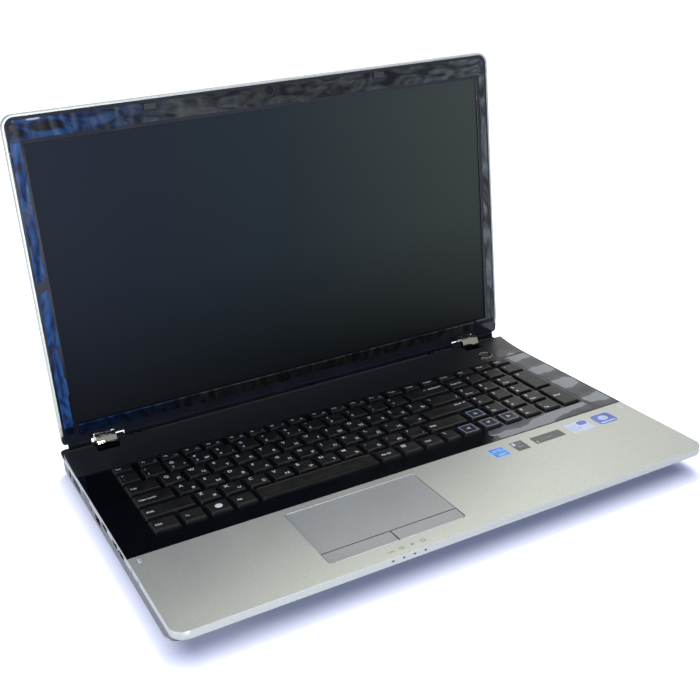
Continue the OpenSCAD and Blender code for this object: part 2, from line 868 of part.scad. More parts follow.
module processor() {
    place() color("#9a9c9e") union() {
        block([cpu_x - cpu_size / 2, cpu_y - cpu_size / 2, board_top],
              [cpu_x + cpu_size / 2, cpu_y + cpu_size / 2, board_top + cpu_h - 0.7]);
        block([cpu_x - 8, cpu_y - 8, board_top + cpu_h - 0.7], [cpu_x + 8, cpu_y + 8, board_top + cpu_h]);
    }
}

// Copper plate on the processor, a flat heat pipe round the ports and the fins in the side vent.
module heatsink() {
    z = board_top + cpu_h;
    fins_x = -port_face + 1;
    fins_d = 14;
    pipe_w = 6;
    pipe_y = lan_y + lan_w / 2 + 2;
    pipe_x = -port_face + vga_d + 2;
    place() color("#b87848") union() {
        block([cpu_x - 20, cpu_y - 20, z], [cpu_x + 20, cpu_y + 20, z + 0.8]);
        block([cpu_x - 16, cpu_y + 10, z + 0.3], [cpu_x + 4, pipe_y + pipe_w, z + 1.5]);
        block([pipe_x, pipe_y, z + 0.1], [cpu_x + 4, pipe_y + pipe_w, z + 1.7]);
        block([pipe_x, pipe_y, z + 0.1], [pipe_x + pipe_w, vent_y + vent_l / 2, z + 1.7]);
        block([fins_x, vent_y - vent_l / 2, z], [pipe_x + pipe_w, vent_y + vent_l / 2, z + 0.4]);
        for (i = [0 : 9]) {
            y = vent_y - vent_l / 2 + 0.6 + i * 2.2;
            block([fins_x, y, fan_z + 1], [fins_x + fins_d, y + 0.4, z + 0.2]);
        }
    }
}

module fan_housing() {
    h = fan_size / 2;
    place() translate([fan_x, fan_y, fan_z]) color("#26282a") difference() {
        union() {
            difference() {
                block([-h, -h, 0], [h, h, fan_h]);
                translate([0, 0, 0.8]) cylinder(h = fan_h - 1.6, r = fan_r + 1.5);
                block([-h - 1, 2, 0.8], [0, fan_r + 1.5, fan_h - 0.8]);
                translate([0, 0, fan_h - 1]) cylinder(h = 2, r = 17);
                translate([0, 0, -1]) cylinder(h = 3, r = 17);
            }
            translate([0, 0, 0]) cylinder(h = 0.8, r = 7);
            for (a = [45 : 90 : 315]) rotate([0, 0, a]) block([4, -1.2, 0], [19, 1.2, 0.8]);
            cylinder(h = 6, r = spindle_r);
            for (x = [-h, h - 6]) block([x, -h, -(fan_z - floor_z)], [x + 6, -h + 6, 1]);
        }
    }
}

module fan_rotor() {
    hub_r = 12;
    blades = 11;
    z0 = 1.6;
    place() translate([fan_x, fan_y, fan_z]) color("#34373a") difference() {
        union() {
            translate([0, 0, z0]) cylinder(h = fan_h - 3.2, r = hub_r);
            for (i = [0 : blades - 1]) rotate([0, 0, i * 360 / blades])
                translate([hub_r - 0.6, 0, z0]) rotate([0, 0, 22])
                    cube([fan_r - hub_r - 0.4, 1, fan_h - 3.6]);
        }
        cylinder(h = 6.3, r = spindle_r + spindle_play);
    }
}

module hard_disk() {
    z = floor_z + 1;
    low = [disk_x, disk_y];
    place() color("#a8abae") union() {
        rounded_slab(low, low + [disk_w, disk_d], 3, 3, z, z + disk_h - 1);
        rounded_slab(low + [3, 3], low + [disk_w - 3, disk_d - 3], 6, 6, z + disk_h - 1, z + disk_h);
    }
}

module speakers() {
    place() color("#202224") for (x = [disk_x + disk_w + 28, half_w - 52]) {
        difference() {
            block([x - 22, speaker_y, floor_z], [x + 22, speaker_y + speaker_d, floor_z + 8]);
            translate([x, speaker_y + speaker_d / 2, floor_z + 6]) cylinder(h = 3, r = 7.5);
        }
        translate([x, speaker_y + speaker_d / 2, floor_z + 5.8]) cylinder(h = 1.6, r = 5);
    }
}

module battery() {
    w = battery_w / 2;
    place() color("#202123") difference() {
        union() {
            block([-w, battery_y, foot_h], [w, base_d - case_inset, battery_top]);
            for (x = [-w + 40, w - 40])
                block([x - 12, base_d - 1, foot_h + 3], [x + 12, base_d - 0.3, foot_h + 4]);
        }
        for (side = [-1, 1]) battery_rail(side, 0.25);
    }
}

// A sliding catch in the floor in front of the battery.
module battery_latch() {
    place() color("#2a2c2e") union() {
        block([-latch_w / 2, latch_y, foot_h], [latch_w / 2, latch_y + latch_d, floor_z]);
        block([-latch_w / 2 - 2, latch_y - 2, floor_z + 0.1],
              [latch_w / 2, latch_y + latch_d + 1, floor_z + 1.2]);
        block([-latch_w / 2, latch_y, floor_z - 0.1], [latch_w / 2, latch_y + latch_d, floor_z + 0.2]);
        block([-4, latch_y + latch_d - 0.1, foot_h + 0.5], [4, battery_y - 0.3, floor_z - 0.3]);
        for (x = [-6 : 3 : 6])
            block([x - 0.5, latch_y + 2, foot_h - 0.6], [x + 0.5, latch_y + latch_d - 2, foot_h]);
    }
}

module optical_drive() {
    low = [drive_x, drive_y, drive_z];
    high = low + [drive_d, drive_w, drive_h];
    wall = [drive_wall, drive_wall, drive_wall];
    place() color("#b0b3b6") difference() {
        union() {
            block(low, high);
            for (y = [drive_y + 8, drive_y + drive_w - 16])
                block([drive_x + 10, y, floor_z], [drive_x + 30, y + 8, drive_z + 0.2]);
        }
        block(low + wall, high + [1, -drive_wall, -drive_wall]);
    }
}

module drive_tray() {
    x0 = drive_x + drive_wall + tray_fit;
    x1 = drive_x + drive_d + 0.2;
    y0 = drive_y + drive_wall + 0.3;
    y1 = drive_y + drive_w - drive_wall - 0.3;
    middle = [(x0 + x1) / 2, (y0 + y1) / 2];
    place() color("#1c1d1f") difference() {
        union() {
            block([x0, y0, tray_z], [x1, y1, tray_z + tray_h]);
            block([x1 - 0.15, drive_y, drive_z], [case_half_w, drive_y + drive_w, drive_z + drive_h]);
        }
        intersection() {
            translate([middle[0], middle[1], tray_z + tray_h - disc_depth]) cylinder(h = 5, r = disc_r);
            block([x0 - 1, y0 - 1, 0], [x1 - 0.6, y1 + 1, base_h]);
        }
        translate([middle[0], middle[1], tray_z + 1.5]) cylinder(h = tray_h, r = 13);
        eject_place(port_fit, case_half_w - 1.4, half_w);
        for (y = [y0, y1 - 1.2]) block([x0 - 1, y - 0.2, tray_z + 2], [x1 - 3, y + 1.4, tray_z + 2.8]);
    }
}

module eject_place(fit, x0, x1) {
    z = drive_z + 2;
    low = [x0, eject_y - eject_w / 2 - fit, z - fit];
    block(low, [x1, eject_y + eject_w / 2 + fit, z + eject_h + fit]);
}

module eject_button() {
    place() color("#2c2e30") eject_place(0, case_half_w - 1.4 + eject_travel + 0.2, case_half_w + 0.3);
}

// Puts a hinge piece at its side: +X runs outwards from the middle of the barrel.
module at_hinge(side) {
    translate([side * hinge_x, 0, 0]) mirror([side > 0 ? 0 : 1, 0, 0]) children();
}

// Screws that hold each hinge bracket down.
module bracket_screws(side, r, deep) {
    for (x = bracket_screw_xs)
        translate([side * (hinge_x - x), bracket_screw_y, shelf_z - deep]) cylinder(h = deep + 2, r = r);
}

// Steel bracket on the shelf: foot, lug and the hinge shaft that the lid turns on.
module hinge_bracket(side) {
    shaft_in = barrel_l / 2 - 2.5;
    place() color("#8d9093") at_hinge(side) union() {
        difference() {
            block([-lug_reach - 22, strip_end + 1, shelf_z],
                  [-lug_reach + lug_w, base_d - 3, shelf_z + bracket_t]);
            for (x = bracket_screw_xs)
                translate([-x, bracket_screw_y, shelf_z - 1]) cylinder(h = 4, r = screw_r + screw_fit);
        }
        block([-lug_reach, hinge_y - 2.8, shelf_z + bracket_t - 0.1],
              [-lug_reach + lug_w, hinge_y + 2.8, hinge_z]);
        translate([0, hinge_y, hinge_z]) bar_x(-lug_reach, -lug_reach + lug_w, 3.2);
        translate([0, hinge_y, hinge_z]) bar_x(-lug_reach + 0.5, shaft_in, shaft_r);
    }
}

module hinge_bracket_left() {
    hinge_bracket(-1);
}

module hinge_bracket_right() {
    hinge_bracket(1);
}

module dc_jack() {
    z = dc_low + dc_h / 2;
    place() color("#232527") union() {
        difference() {
            block([-port_face, dc_y - dc_w / 2, dc_low],
                  [-port_face + dc_d, dc_y + dc_w / 2, dc_low + dc_h]);
            translate([-port_face - 1, dc_y, z]) bar_x(0, dc_d - 2, dc_r);
        }
        translate([-port_face + 1, dc_y, z]) bar_x(0, dc_d - 2, 0.8);
    }
}

module lan_port() {
    z = lan_low + lan_sill;
    place() color("#2b2d30") difference() {
        block([-port_face, lan_y - lan_w / 2, lan_low],
              [-port_face + lan_d, lan_y + lan_w / 2, lan_low + lan_h]);
        block([-port_face - 1, lan_y - socket_w / 2, z],
              [-port_face + lan_d - 2, lan_y + socket_w / 2, z + socket_h]);
    }
}

module vga_port() {
    z = vga_low + vga_h / 2;
    place() color("#2f4a8c") union() {
        block([-port_face, vga_y - vga_w / 2, vga_low],
              [-port_face + vga_d, vga_y + vga_w / 2, vga_low + vga_h]);
        block([-half_w + 0.6, vga_y - 8.4, z - 4], [-port_face + 1, vga_y + 8.4, z + 4]);
    }
}

module hdmi_port() {
    place() color("#a6a9ac") union() {
        port_shell(hdmi_y, hdmi_w, usb_z, usb_h, usb_d, 0.4);
        block([-port_face + 1, hdmi_y - 5.5, usb_z - 0.5],
              [-port_face + usb_d - 1, hdmi_y + 5.5, usb_z + 0.5]);
    }
}

module usb_ports() {
    place() color("#a6a9ac") union() {
        for (y = usb_ys) usb_port(y);
        mirror([1, 0, 0]) usb_port(right_usb_y);
    }
}

module usb_port(y) {
    port_shell(y, usb_w, usb_z, usb_h, usb_d, 0.4);
    block([-port_face + 1, y - 5.6, usb_z + 0.2], [-port_face + usb_d - 1, y + 5.6, usb_z + 1.8]);
}

module audio_jacks() {
    place() color("#26282b") for (y = jack_ys) difference() {
        union() {
            block([-port_face, y - 4, board_top], [-port_face + jack_depth + 1, y + 4, under_skin]);
            block([-half_w + band_wall, y - 4, band_z], [-port_face + 1, y + 4, under_skin]);
        }
        translate([-half_w, y, jack_z]) bar_x(0, jack_bore, jack_r);
    }
}

module case_screws() {
    place() color("#3a3c3f") {
        for (s = screw_spots) translate([s[0], s[1], foot_h]) {
            cylinder(h = screw_head_h, r = screw_head_r);
            cylinder(h = board_top - foot_h - 0.5, r = screw_r);
        }
        for (side = [-1, 1], x = bracket_screw_xs)
            translate([side * (hinge_x - x), bracket_screw_y, shelf_z - 3]) {
                cylinder(h = 3 + bracket_t, r = screw_r);
                translate([0, 0, 3 + bracket_t]) cylinder(h = bracket_head_h, r = screw_head_r);
            }
    }
}

module rubber_feet() {
    foot_r = 7.5;
    spots = [[half_w - 26, front_foot_y], [half_w - 26, base_d - 20]];
    place() color("#101112") for (s = spots, side = [-1, 1])
        translate([side * s[0], s[1], 0]) cylinder(h = foot_h, r = foot_r);
}

// Notches in the lid's lower edge that leave room for the hinge barrels.
module barrel_notches() {
    reach = barrel_l / 2 + 0.6;
    for (side = [-1, 1])
        block([side * hinge_x - reach, -10, lid_back_n - 1],
              [side * hinge_x + reach, barrel_r + 0.7, bezel_n + 1]);
}

module lid_back_cover() {
    low = [-lid_half_w, lid_low];
    high = [lid_half_w, lid_h];
    rim = [cover_t, cover_t];
    on_lid() color("#b4b6ae") difference() {
        intersection() {
            rounded_slab(low, high, 3, lid_corner_r, lid_back_n, cover_rim_n);
            along_x(-lid_half_w, lid_half_w) chin_cut(cover_rim_n - bezel_n);
        }
        rounded_slab(low + rim, high - rim, 2, lid_corner_r - cover_t, inner_back_n, bezel_n + 1);
        barrel_notches();
        for (span = lip_spans)
            block([span[0] - lip_fit, lid_low - 1, chin_n - lip_t - lip_fit],
                  [span[1] + lip_fit, lid_low + cover_t + 1, bezel_n]);
    }
}

// Room that the lid keeps to in front: flat over the screen and leaning back under it.
module chin_cut(shift) {
    polygon([
        [0, lid_back_n - 1], [lid_h + 1, lid_back_n - 1], [lid_h + 1, bezel_n + shift],
        [screen_rise, bezel_n + shift], [lid_low, chin_n + shift], [0, chin_n + shift]
    ]);
}

module lid_bezel() {
    edge = cover_t + bezel_fit;
    under = bezel_n - bezel_t;
    step = screen_rise - panel_lap - 0.2;
    slope = (bezel_n - chin_n) / (screen_rise - lid_low);
    low_n = chin_n + slope * edge;
    lip_top = lid_low + edge + 0.5;
    on_lid() color("#101218") union() {
        bezel_frame(edge, under, step, low_n);
        for (span = lip_spans)
            along_x(span[0], span[1]) polygon([
                [-lip_drop, chin_n - lip_t], [-lip_drop, chin_n], [lid_low, chin_n],
                [lip_top, low_n + 0.5 * slope], [lip_top, chin_n - lip_t]
            ]);
    }
}

module bezel_frame(edge, under, step, low_n) {
    difference() {
        intersection() {
            rounded_slab([-lid_half_w + edge, lid_low + edge], [lid_half_w - edge, lid_h - edge], 2,
                         lid_corner_r - edge, lid_back_n, bezel_n);
            along_x(-lid_half_w, lid_half_w) polygon([
                [lid_low + edge, low_n], [screen_rise, bezel_n], [lid_h, bezel_n], [lid_h, under],
                [step, under], [step, under - 0.7], [lid_low + edge, low_n - bezel_t]
            ]);
        }
        block([-screen_half_w, screen_rise, -9], [screen_half_w, screen_top, 9]);
        barrel_notches();
        translate([0, lens_s, under - 1]) cylinder(h = 9, r = lens_r + 0.1);
    }
}

module lcd_panel() {
    front = bezel_n - bezel_t;
    low = [-screen_half_w - panel_lap, screen_rise - panel_lap, front - panel_t];
    on_lid() color("#12171c") block(low, [screen_half_w + panel_lap, screen_top + panel_lap, front]);
}

module webcam_board() {
    front = bezel_n - bezel_t - 1.2;
    on_lid() color("#1f5a34") union() {
        block([-32, lens_s - 4, inner_back_n], [32, lens_s + 4, inner_back_n + 1]);
        block([-4, lens_s - 3.5, inner_back_n + 0.9], [4, lens_s + 3.5, front]);
    }
}

module webcam_lens() {
    on_lid() color("#0a0b10") union() {
        translate([0, lens_s, bezel_n - bezel_t - 1.2]) cylinder(h = 1.2 + bezel_t - 0.1, r = lens_r);
    }
}

// Soft stops that meet the palm rest when the lid is closed.
module lid_bumpers() {
    h = closed_gap - 0.3;
    on_lid() color("#1a1b1d") {
        for (x = [-96.9, 96.9])
            block([x - 4.5, lid_h - 8.6, bezel_n], [x + 4.5, lid_h - 4.4, bezel_n + h]);
        for (x = [-lid_half_w + 7, lid_half_w - 7])
            translate([x, lid_h - 8.5, bezel_n]) cylinder(h = h, r = 2.6);
    }
}

// Steel arm behind the panel, with the eye that turns on the hinge shaft.
module hinge_arm(side) {
    half = barrel_l / 2 - 1.5;
    on_lid() color("#8d9093") at_hinge(side) difference() {
        union() {
            bar_x(-half, half, barrel_r - 1.25);
            block([-half, 0, inner_back_n], [half, 80, inner_back_n + 1.2]);
        }
        bar_x(-half - 1, half + 1, shaft_r + shaft_play);
        for (s = [30, 50, 70]) translate([0, s, inner_back_n - 1]) cylinder(h = 4, r = screw_r + screw_fit);
    }
}

module hinge_arm_left() {
    hinge_arm(-1);
}

module hinge_arm_right() {
    hinge_arm(1);
}

// Bright round cap over the hinge eye, slotted where the arm leaves it.
module hinge_cap(side) {
    half = barrel_l / 2;
    wall = 1.15;
    slot = half - 1.3;
    on_lid() color("#d4d6d8") at_hinge(side) difference() {
        bar_x(-half, half, barrel_r);
        bar_x(-half + 1.4, half - 1.4, barrel_r - wall);
        bar_x(-half - 1, 0, shaft_r + 0.4);
        block([-slot, 0, inner_back_n - 0.2], [slot, barrel_r + 1, inner_back_n + 1.4]);
    }
}

module hinge_cap_left() {
    hinge_cap(-1);
}

module hinge_cap_right() {
    hinge_cap(1);
}

bottom_case();
palm_rest();
keyboard_deck();
rear_strip();
keyboard_plate();
keys_function_row();
keys_number_row();
keys_tab_row();
keys_home_row();
keys_shift_row();
keys_bottom_row();
space_bar();
enter_key();
backspace_key();
numpad_plus_key();
numpad_enter_key();
touchpad();
touchpad_button_left();
touchpad_button_right();
power_button();
power_button_ring();
status_lights();
stickers();
mainboard();
processor();
heatsink();
fan_housing();
fan_rotor();
hard_disk();
memory_module();
wireless_card();
speakers();
battery();
battery_latch();
optical_drive();
drive_tray();
eject_button();
hinge_bracket_left();
hinge_bracket_right();
dc_jack();
lan_port();
vga_port();
hdmi_port();
usb_ports();
audio_jacks();
service_door();
case_screws();
rubber_feet();
lid_back_cover();
lid_bezel();
lcd_panel();
webcam_board();
webcam_lens();
lid_bumpers();
hinge_arm_left();
hinge_arm_right();
hinge_cap_left();
hinge_cap_right();
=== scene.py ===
import json
import math

import bmesh
import bpy
from mathutils import Matrix, Vector, noise
from mathutils.bvhtree import BVHTree

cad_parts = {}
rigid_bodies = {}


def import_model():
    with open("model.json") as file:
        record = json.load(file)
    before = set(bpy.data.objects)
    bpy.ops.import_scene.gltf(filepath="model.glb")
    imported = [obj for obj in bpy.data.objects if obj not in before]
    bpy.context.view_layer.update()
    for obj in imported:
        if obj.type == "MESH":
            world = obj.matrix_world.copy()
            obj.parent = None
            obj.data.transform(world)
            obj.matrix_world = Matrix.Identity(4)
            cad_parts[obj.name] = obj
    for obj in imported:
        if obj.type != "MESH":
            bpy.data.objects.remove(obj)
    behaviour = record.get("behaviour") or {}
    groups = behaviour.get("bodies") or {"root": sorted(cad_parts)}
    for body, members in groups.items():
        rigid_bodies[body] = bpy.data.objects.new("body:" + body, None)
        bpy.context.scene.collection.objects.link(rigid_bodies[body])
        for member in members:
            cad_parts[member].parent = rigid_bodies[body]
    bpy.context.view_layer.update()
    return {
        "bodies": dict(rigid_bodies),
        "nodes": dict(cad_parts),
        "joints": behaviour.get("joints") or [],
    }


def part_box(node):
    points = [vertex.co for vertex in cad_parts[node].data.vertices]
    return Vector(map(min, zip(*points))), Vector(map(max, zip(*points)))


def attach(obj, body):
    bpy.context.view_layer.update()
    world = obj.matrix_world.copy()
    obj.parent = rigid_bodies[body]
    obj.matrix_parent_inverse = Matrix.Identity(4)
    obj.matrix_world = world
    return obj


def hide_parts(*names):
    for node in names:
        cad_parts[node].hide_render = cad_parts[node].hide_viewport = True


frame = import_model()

nodes = frame["nodes"]

# Palm rest: one ABS moulding, the top skin and the rim round the whole base, sprayed with a
# satin silver paint. The paint's flake gives a faint grain and hands leave soft dull patches.
# The lid has the same paint, with a painted shade, near black, where its rim turns in at the
# hinges.


def linear(colour):
    channels = [int(colour[i:i + 2], 16) / 255 for i in (1, 3, 5)]
    return [c / 12.92 if c <= 0.04045 else ((c + 0.055) / 1.055) ** 2.4 for c in channels] + [1]


def add_node(tree, kind, sockets=None, stops=(), **settings):
    node = tree.nodes.new("ShaderNode" + kind)
    for name, value in settings.items():
        setattr(node, name, value)
    for name, value in (sockets or {}).items():
        if isinstance(value, bpy.types.Node):
            value = value.outputs[0]
        if isinstance(value, bpy.types.NodeSocket):
            tree.links.new(value, node.inputs[name])
        else:
            node.inputs[name].default_value = value
    for i, (place, colour) in enumerate(stops):
        mark = node.color_ramp.elements[i] if i < 2 else node.color_ramp.elements.new(place)
        mark.position = place
        mark.color = linear(colour)
    return node


def new_material(name):
    material = bpy.data.materials.new(name)
    material.use_nodes = True
    tree = material.node_tree
    tree.nodes.clear()
    return material, tree, add_node(tree, "TexCoord").outputs["Object"]


def paint(material, *names):
    for name in names:
        nodes[name].data.materials.clear()
        nodes[name].data.materials.append(material)


def round_edges(radius, *names):
    for name in names:
        weld = nodes[name].modifiers.new("join_faces", "WELD")
        weld.merge_threshold = 0.00002
        flat = nodes[name].modifiers.new("flat_faces", "DECIMATE")
        flat.decimate_type = "DISSOLVE"
        flat.angle_limit = math.radians(0.5)
        bevel = nodes[name].modifiers.new("rounded_edges", "BEVEL")
        bevel.width = radius
        bevel.segments = 2
        bevel.limit_method = "ANGLE"
        bevel.angle_limit = math.radians(32)
        bevel.harden_normals = True


silver_paint, tree, at = new_material("silver_painted_abs")
# Real flake is some 0.05 mm across. It is drawn at 0.9 mm, so that it shows.
flake = add_node(tree, "TexNoise", {"Vector": at, "Scale": 1 / 0.0009, "Detail": 2})
touched = add_node(tree, "TexNoise", {
    "Vector": at, "Scale": 1 / 0.06, "Detail": 4, "Roughness": 0.6})
tone = add_node(tree, "ValToRGB", {"Fac": flake}, [(0.3, "#9a9d93"), (0.7, "#a5a89e")])
# A painted shade, near black, on the lid's rim where it turns in round the hinges.
turned_in, half_deep, half_high = (0, 0.1205, 0.030), 0.0035, 0.008
away = add_node(tree, "VectorMath", {0: at, 1: turned_in}, operation="SUBTRACT")
flat = add_node(tree, "VectorMath", {
    0: away, 1: (0, 1 / half_deep, 1 / half_high)}, operation="MULTIPLY")
away = add_node(tree, "VectorMath", {0: flat}, operation="LENGTH")
hinge_notch_painted_shade = add_node(tree, "MapRange", {
    "Value": away.outputs["Value"], "From Min": 0.85, "From Max": 1, "To Min": 1, "To Max": 0})
tone = add_node(tree, "MixRGB", {"Fac": hinge_notch_painted_shade, "Color1": tone, "Color2": linear("#0b0c0e")})
dull = add_node(tree, "MapRange", {
    "Value": touched, "From Min": 0.3, "From Max": 0.7, "To Min": 0.41, "To Max": 0.5})
grain = add_node(tree, "Bump", {"Height": flake, "Strength": 0.06, "Distance": 0.0002})
skin = add_node(tree, "BsdfPrincipled", {
    "Base Color": tone, "Metallic": 0.5, "Roughness": dull, "Normal": grain})
add_node(tree, "OutputMaterial", {"Surface": skin})
paint(silver_paint, "palm_rest")
round_edges(0.0004, "palm_rest")

# Bottom case: black ABS with a spark-eroded texture from the mould, which looks like fine
# leather and hardly shines. The service door, battery and drive front are moulded the same.

case_plastic, tree, at = new_material("spark_textured_black_abs")
# Real pits are some 0.2 mm across. They are drawn at 0.8 mm, so that they show.
pits = add_node(tree, "TexNoise", {
    "Vector": at, "Scale": 1 / 0.0008, "Detail": 3, "Roughness": 0.7})
tone = add_node(tree, "ValToRGB", {"Fac": pits}, [(0.35, "#191d25"), (0.65, "#232833")])
bumps = add_node(tree, "Bump", {"Height": pits, "Strength": 0.35, "Distance": 0.0003})
skin = add_node(tree, "BsdfPrincipled", {
    "Base Color": tone, "Roughness": 0.45, "Specular IOR Level": 0.65, "Normal": bumps})
add_node(tree, "OutputMaterial", {"Surface": skin})
paint(case_plastic, "bottom_case", "service_door", "battery", "battery_latch", "drive_tray",
      "eject_button")
round_edges(0.0004, "service_door", "battery", "battery_latch")

# Touchpad: a polycarbonate film with a fine matte texture in a sunk frame, and one long split
# button below it with the same skin.

pad_skin, tree, at = new_material("matte_touchpad_film")
# Real grains are some 0.1 mm across. They are drawn at 1 mm, so that they show.
weave = add_node(tree, "TexNoise", {"Vector": at, "Scale": 1 / 0.001, "Detail": 2})
worn = add_node(tree, "TexNoise", {"Vector": at, "Scale": 1 / 0.04, "Detail": 3})
tone = add_node(tree, "ValToRGB", {"Fac": weave}, [(0.35, "#97998e"), (0.65, "#9fa196")])
dull = add_node(tree, "MapRange", {
    "Value": worn, "From Min": 0.3, "From Max": 0.7, "To Min": 0.42, "To Max": 0.55})
grain = add_node(tree, "Bump", {"Height": weave, "Strength": 0.12, "Distance": 0.0002})
skin = add_node(tree, "BsdfPrincipled", {
    "Base Color": tone, "Metallic": 0.15, "Roughness": dull, "Normal": grain})
add_node(tree, "OutputMaterial", {"Surface": skin})
paint(pad_skin, "touchpad", "touchpad_button_left", "touchpad_button_right")
round_edges(0.0005, "touchpad_button_left", "touchpad_button_right")

# Status lights: four smoked lenses pushed through the front wall, unlit, each with a small
# grey symbol pad-printed above it on the palm rest. The symbols are plain shapes.


def add_piece(name, shape, materials, body, stands_for=(), at=None):
    mesh = bpy.data.meshes.new(name)
    shape.to_mesh(mesh)
    shape.free()
    for material in materials:
        mesh.materials.append(material)
    mesh.shade_smooth()
    mesh.set_sharp_from_angle(angle=math.radians(32))
    piece = bpy.data.objects.new(name, mesh)
    bpy.context.scene.collection.objects.link(piece)
    if at:
        piece.matrix_world = at
    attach(piece, body)
    if stands_for:
        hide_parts(*stands_for)


def islands(name):
    shape = bmesh.new()
    shape.from_mesh(nodes[name].data)
    bmesh.ops.remove_doubles(shape, verts=shape.verts, dist=0.00001)
    boxes = []
    for start in shape.verts:
        if start.tag:
            continue
        start.tag = True
        found = [start]
        for vert in found:
            for edge in vert.link_edges:
                other = edge.other_vert(vert)
                if not other.tag:
                    other.tag = True
                    found.append(other)
        boxes.append((Vector([min(v.co[k] for v in found) for k in range(3)]),
                      Vector([max(v.co[k] for v in found) for k in range(3)])))
    shape.free()
    return sorted(boxes, key=lambda box: box[0].x)


def print_marks(name, marks, materials, body):
    texts = []
    for words, x, y, size, side, surface, ink in marks:
        curve = bpy.data.curves.new("mark", "FONT")
        curve.body = words
        curve.size = size
        curve.align_x = side
        curve.resolution_u = 2
        curve.offset = 0.00009
        text = bpy.data.objects.new("mark", curve)
        bpy.context.scene.collection.objects.link(text)
        texts.append(text)
    depsgraph = bpy.context.evaluated_depsgraph_get()
    shape = bmesh.new()
    for text, (words, x, y, size, side, surface, ink) in zip(texts, marks):
        mesh = bpy.data.meshes.new_from_object(text.evaluated_get(depsgraph))
        for vert in mesh.vertices:
            px, py = x + vert.co.x, y + vert.co.y
            vert.co = (px, py, surface(px, py) + 0.00003)
        for face in mesh.polygons:
            face.material_index = ink
        shape.from_mesh(mesh)
        curve = text.data
        bpy.data.objects.remove(text)
        bpy.data.curves.remove(curve)
        bpy.data.meshes.remove(mesh)
    add_piece(name, shape, materials, body)


smoked_lens, tree, at = new_material("smoked_light_lens")
haze = add_node(tree, "TexNoise", {"Vector": at, "Scale": 1 / 0.001, "Detail": 1})
tone = add_node(tree, "ValToRGB", {"Fac": haze}, [(0.3, "#232a3c"), (0.7, "#343d54")])
skin = add_node(tree, "BsdfPrincipled", {"Base Color": tone, "Roughness": 0.2})
add_node(tree, "OutputMaterial", {"Surface": skin})
paint(smoked_lens, "status_lights")

grey_ink, tree, at = new_material("grey_pad_printing_ink")
edge = add_node(tree, "TexNoise", {"Vector": at, "Scale": 1 / 0.0006, "Detail": 1})
tone = add_node(tree, "ValToRGB", {"Fac": edge}, [(0.3, "#5f625e"), (0.7, "#71746f")])
skin = add_node(tree, "BsdfPrincipled", {"Base Color": tone, "Roughness": 0.5})
add_node(tree, "OutputMaterial", {"Surface": skin})

palm_low, palm_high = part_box("palm_rest")
palm_top = palm_high.z
front = palm_low.y
lights = islands("status_lights")
symbols = ["▭", "○", "≡", "□"]
print_marks("status_light_symbols", [
    (symbol, (low.x + high.x) / 2 + 0.0022, front + 0.0052, 0.0042, "CENTER",
     lambda x, y: palm_top, 0)
    for symbol, (low, high) in zip(symbols, lights)], [grey_ink], "base")

# Labels: five small printed film labels in one row on the right of the palm rest. Each is a
# clear-coated film with a plain coloured print: fields, discs and bands, with no words.


def slab(shape, low, high, z0, z1, radius, ink, corners=5):
    rings = []
    for z in (z0, z1):
        ring = []
        for corner, (x, y) in enumerate([(high[0] - radius, high[1] - radius),
                                         (low[0] + radius, high[1] - radius),
                                         (low[0] + radius, low[1] + radius),
                                         (high[0] - radius, low[1] + radius)]):
            for i in range(corners + 1):
                turn = math.radians(90 * corner + 90 * i / corners)
                ring.append(shape.verts.new(
                    (x + radius * math.cos(turn), y + radius * math.sin(turn), z)))
        rings.append(ring)
    count = len(rings[0])
    faces = [shape.faces.new(rings[1]), shape.faces.new(rings[0][::-1])]
    for i in range(count):
        j = (i + 1) % count
        faces.append(shape.faces.new((rings[0][i], rings[0][j], rings[1][j], rings[1][i])))
    for face in faces:
        face.material_index = ink


label_inks = []
for name, dark, light in [
        ("light_blue_label", "#2f93dc", "#45a8ee"), ("pale_border_label", "#9fd0f0", "#bfe2f6"),
        ("black_label", "#1b1d20", "#282a2e"), ("worn_grey_label", "#5c5f60", "#808384"),
        ("dark_long_label", "#232523", "#30322f"), ("straw_dot_label", "#a8a36a", "#bdb87e"),
        ("white_label", "#d4dae2", "#eaeef4"), ("blue_corner_label", "#2c62b4", "#3f78cc"),
        ("deep_blue_label", "#1f4fa0", "#3a74c8"), ("pale_disc_label", "#b9cadb", "#dbe6ee")]:
    material, tree, at = new_material(name)
    blotch = add_node(tree, "TexNoise", {"Vector": at, "Scale": 1 / 0.005, "Detail": 3})
    tone = add_node(tree, "ValToRGB", {"Fac": blotch}, [(0.35, dark), (0.65, light)])
    skin = add_node(tree, "BsdfPrincipled", {
        "Base Color": tone, "Roughness": 0.22, "Coat Weight": 0.5, "Coat Roughness": 0.08})
    add_node(tree, "OutputMaterial", {"Surface": skin})
    label_inks.append(material)

# A field's left, bottom, right and top as shares of the label, its ink, and its corner's share.
shape = bmesh.new()
prints = [
    [(0, 0, 1, 1, 1, 0.05), (0.06, 0.06, 0.94, 0.94, 0, 0.03), (0.06, 0.58, 0.94, 0.62, 1, 0.01),
     (0.3, 0.2, 0.8, 0.3, 1, 0.04), (0.2, 0.7, 0.7, 0.78, 1, 0.04)],
    [(0, 0, 1, 1, 2, 0.05), (0.08, 0.62, 0.34, 0.92, 9, 0.1), (0.4, 0.66, 0.8, 0.84, 3, 0.08),
     (0.3, 0.3, 0.5, 0.56, 3, 0.08), (0.56, 0.36, 0.8, 0.5, 3, 0.06)],
    [(0, 0, 1, 1, 4, 0.05), (0.05, 0.14, 0.12, 0.4, 5, 0.1), (0.24, 0.36, 0.62, 0.5, 3, 0.05)],
    [(0, 0, 1, 1, 6, 0.08), (0.55, 0.55, 0.96, 0.95, 7, 0.4), (0.1, 0.56, 0.42, 0.66, 9, 0.04),
     (0.1, 0.3, 0.52, 0.4, 9, 0.04)],
    [(0, 0, 1, 1, 8, 0.22), (0.12, 0.1, 0.88, 0.22, 9, 0.05), (0.26, 0.34, 0.74, 0.8, 9, 0.5)]]
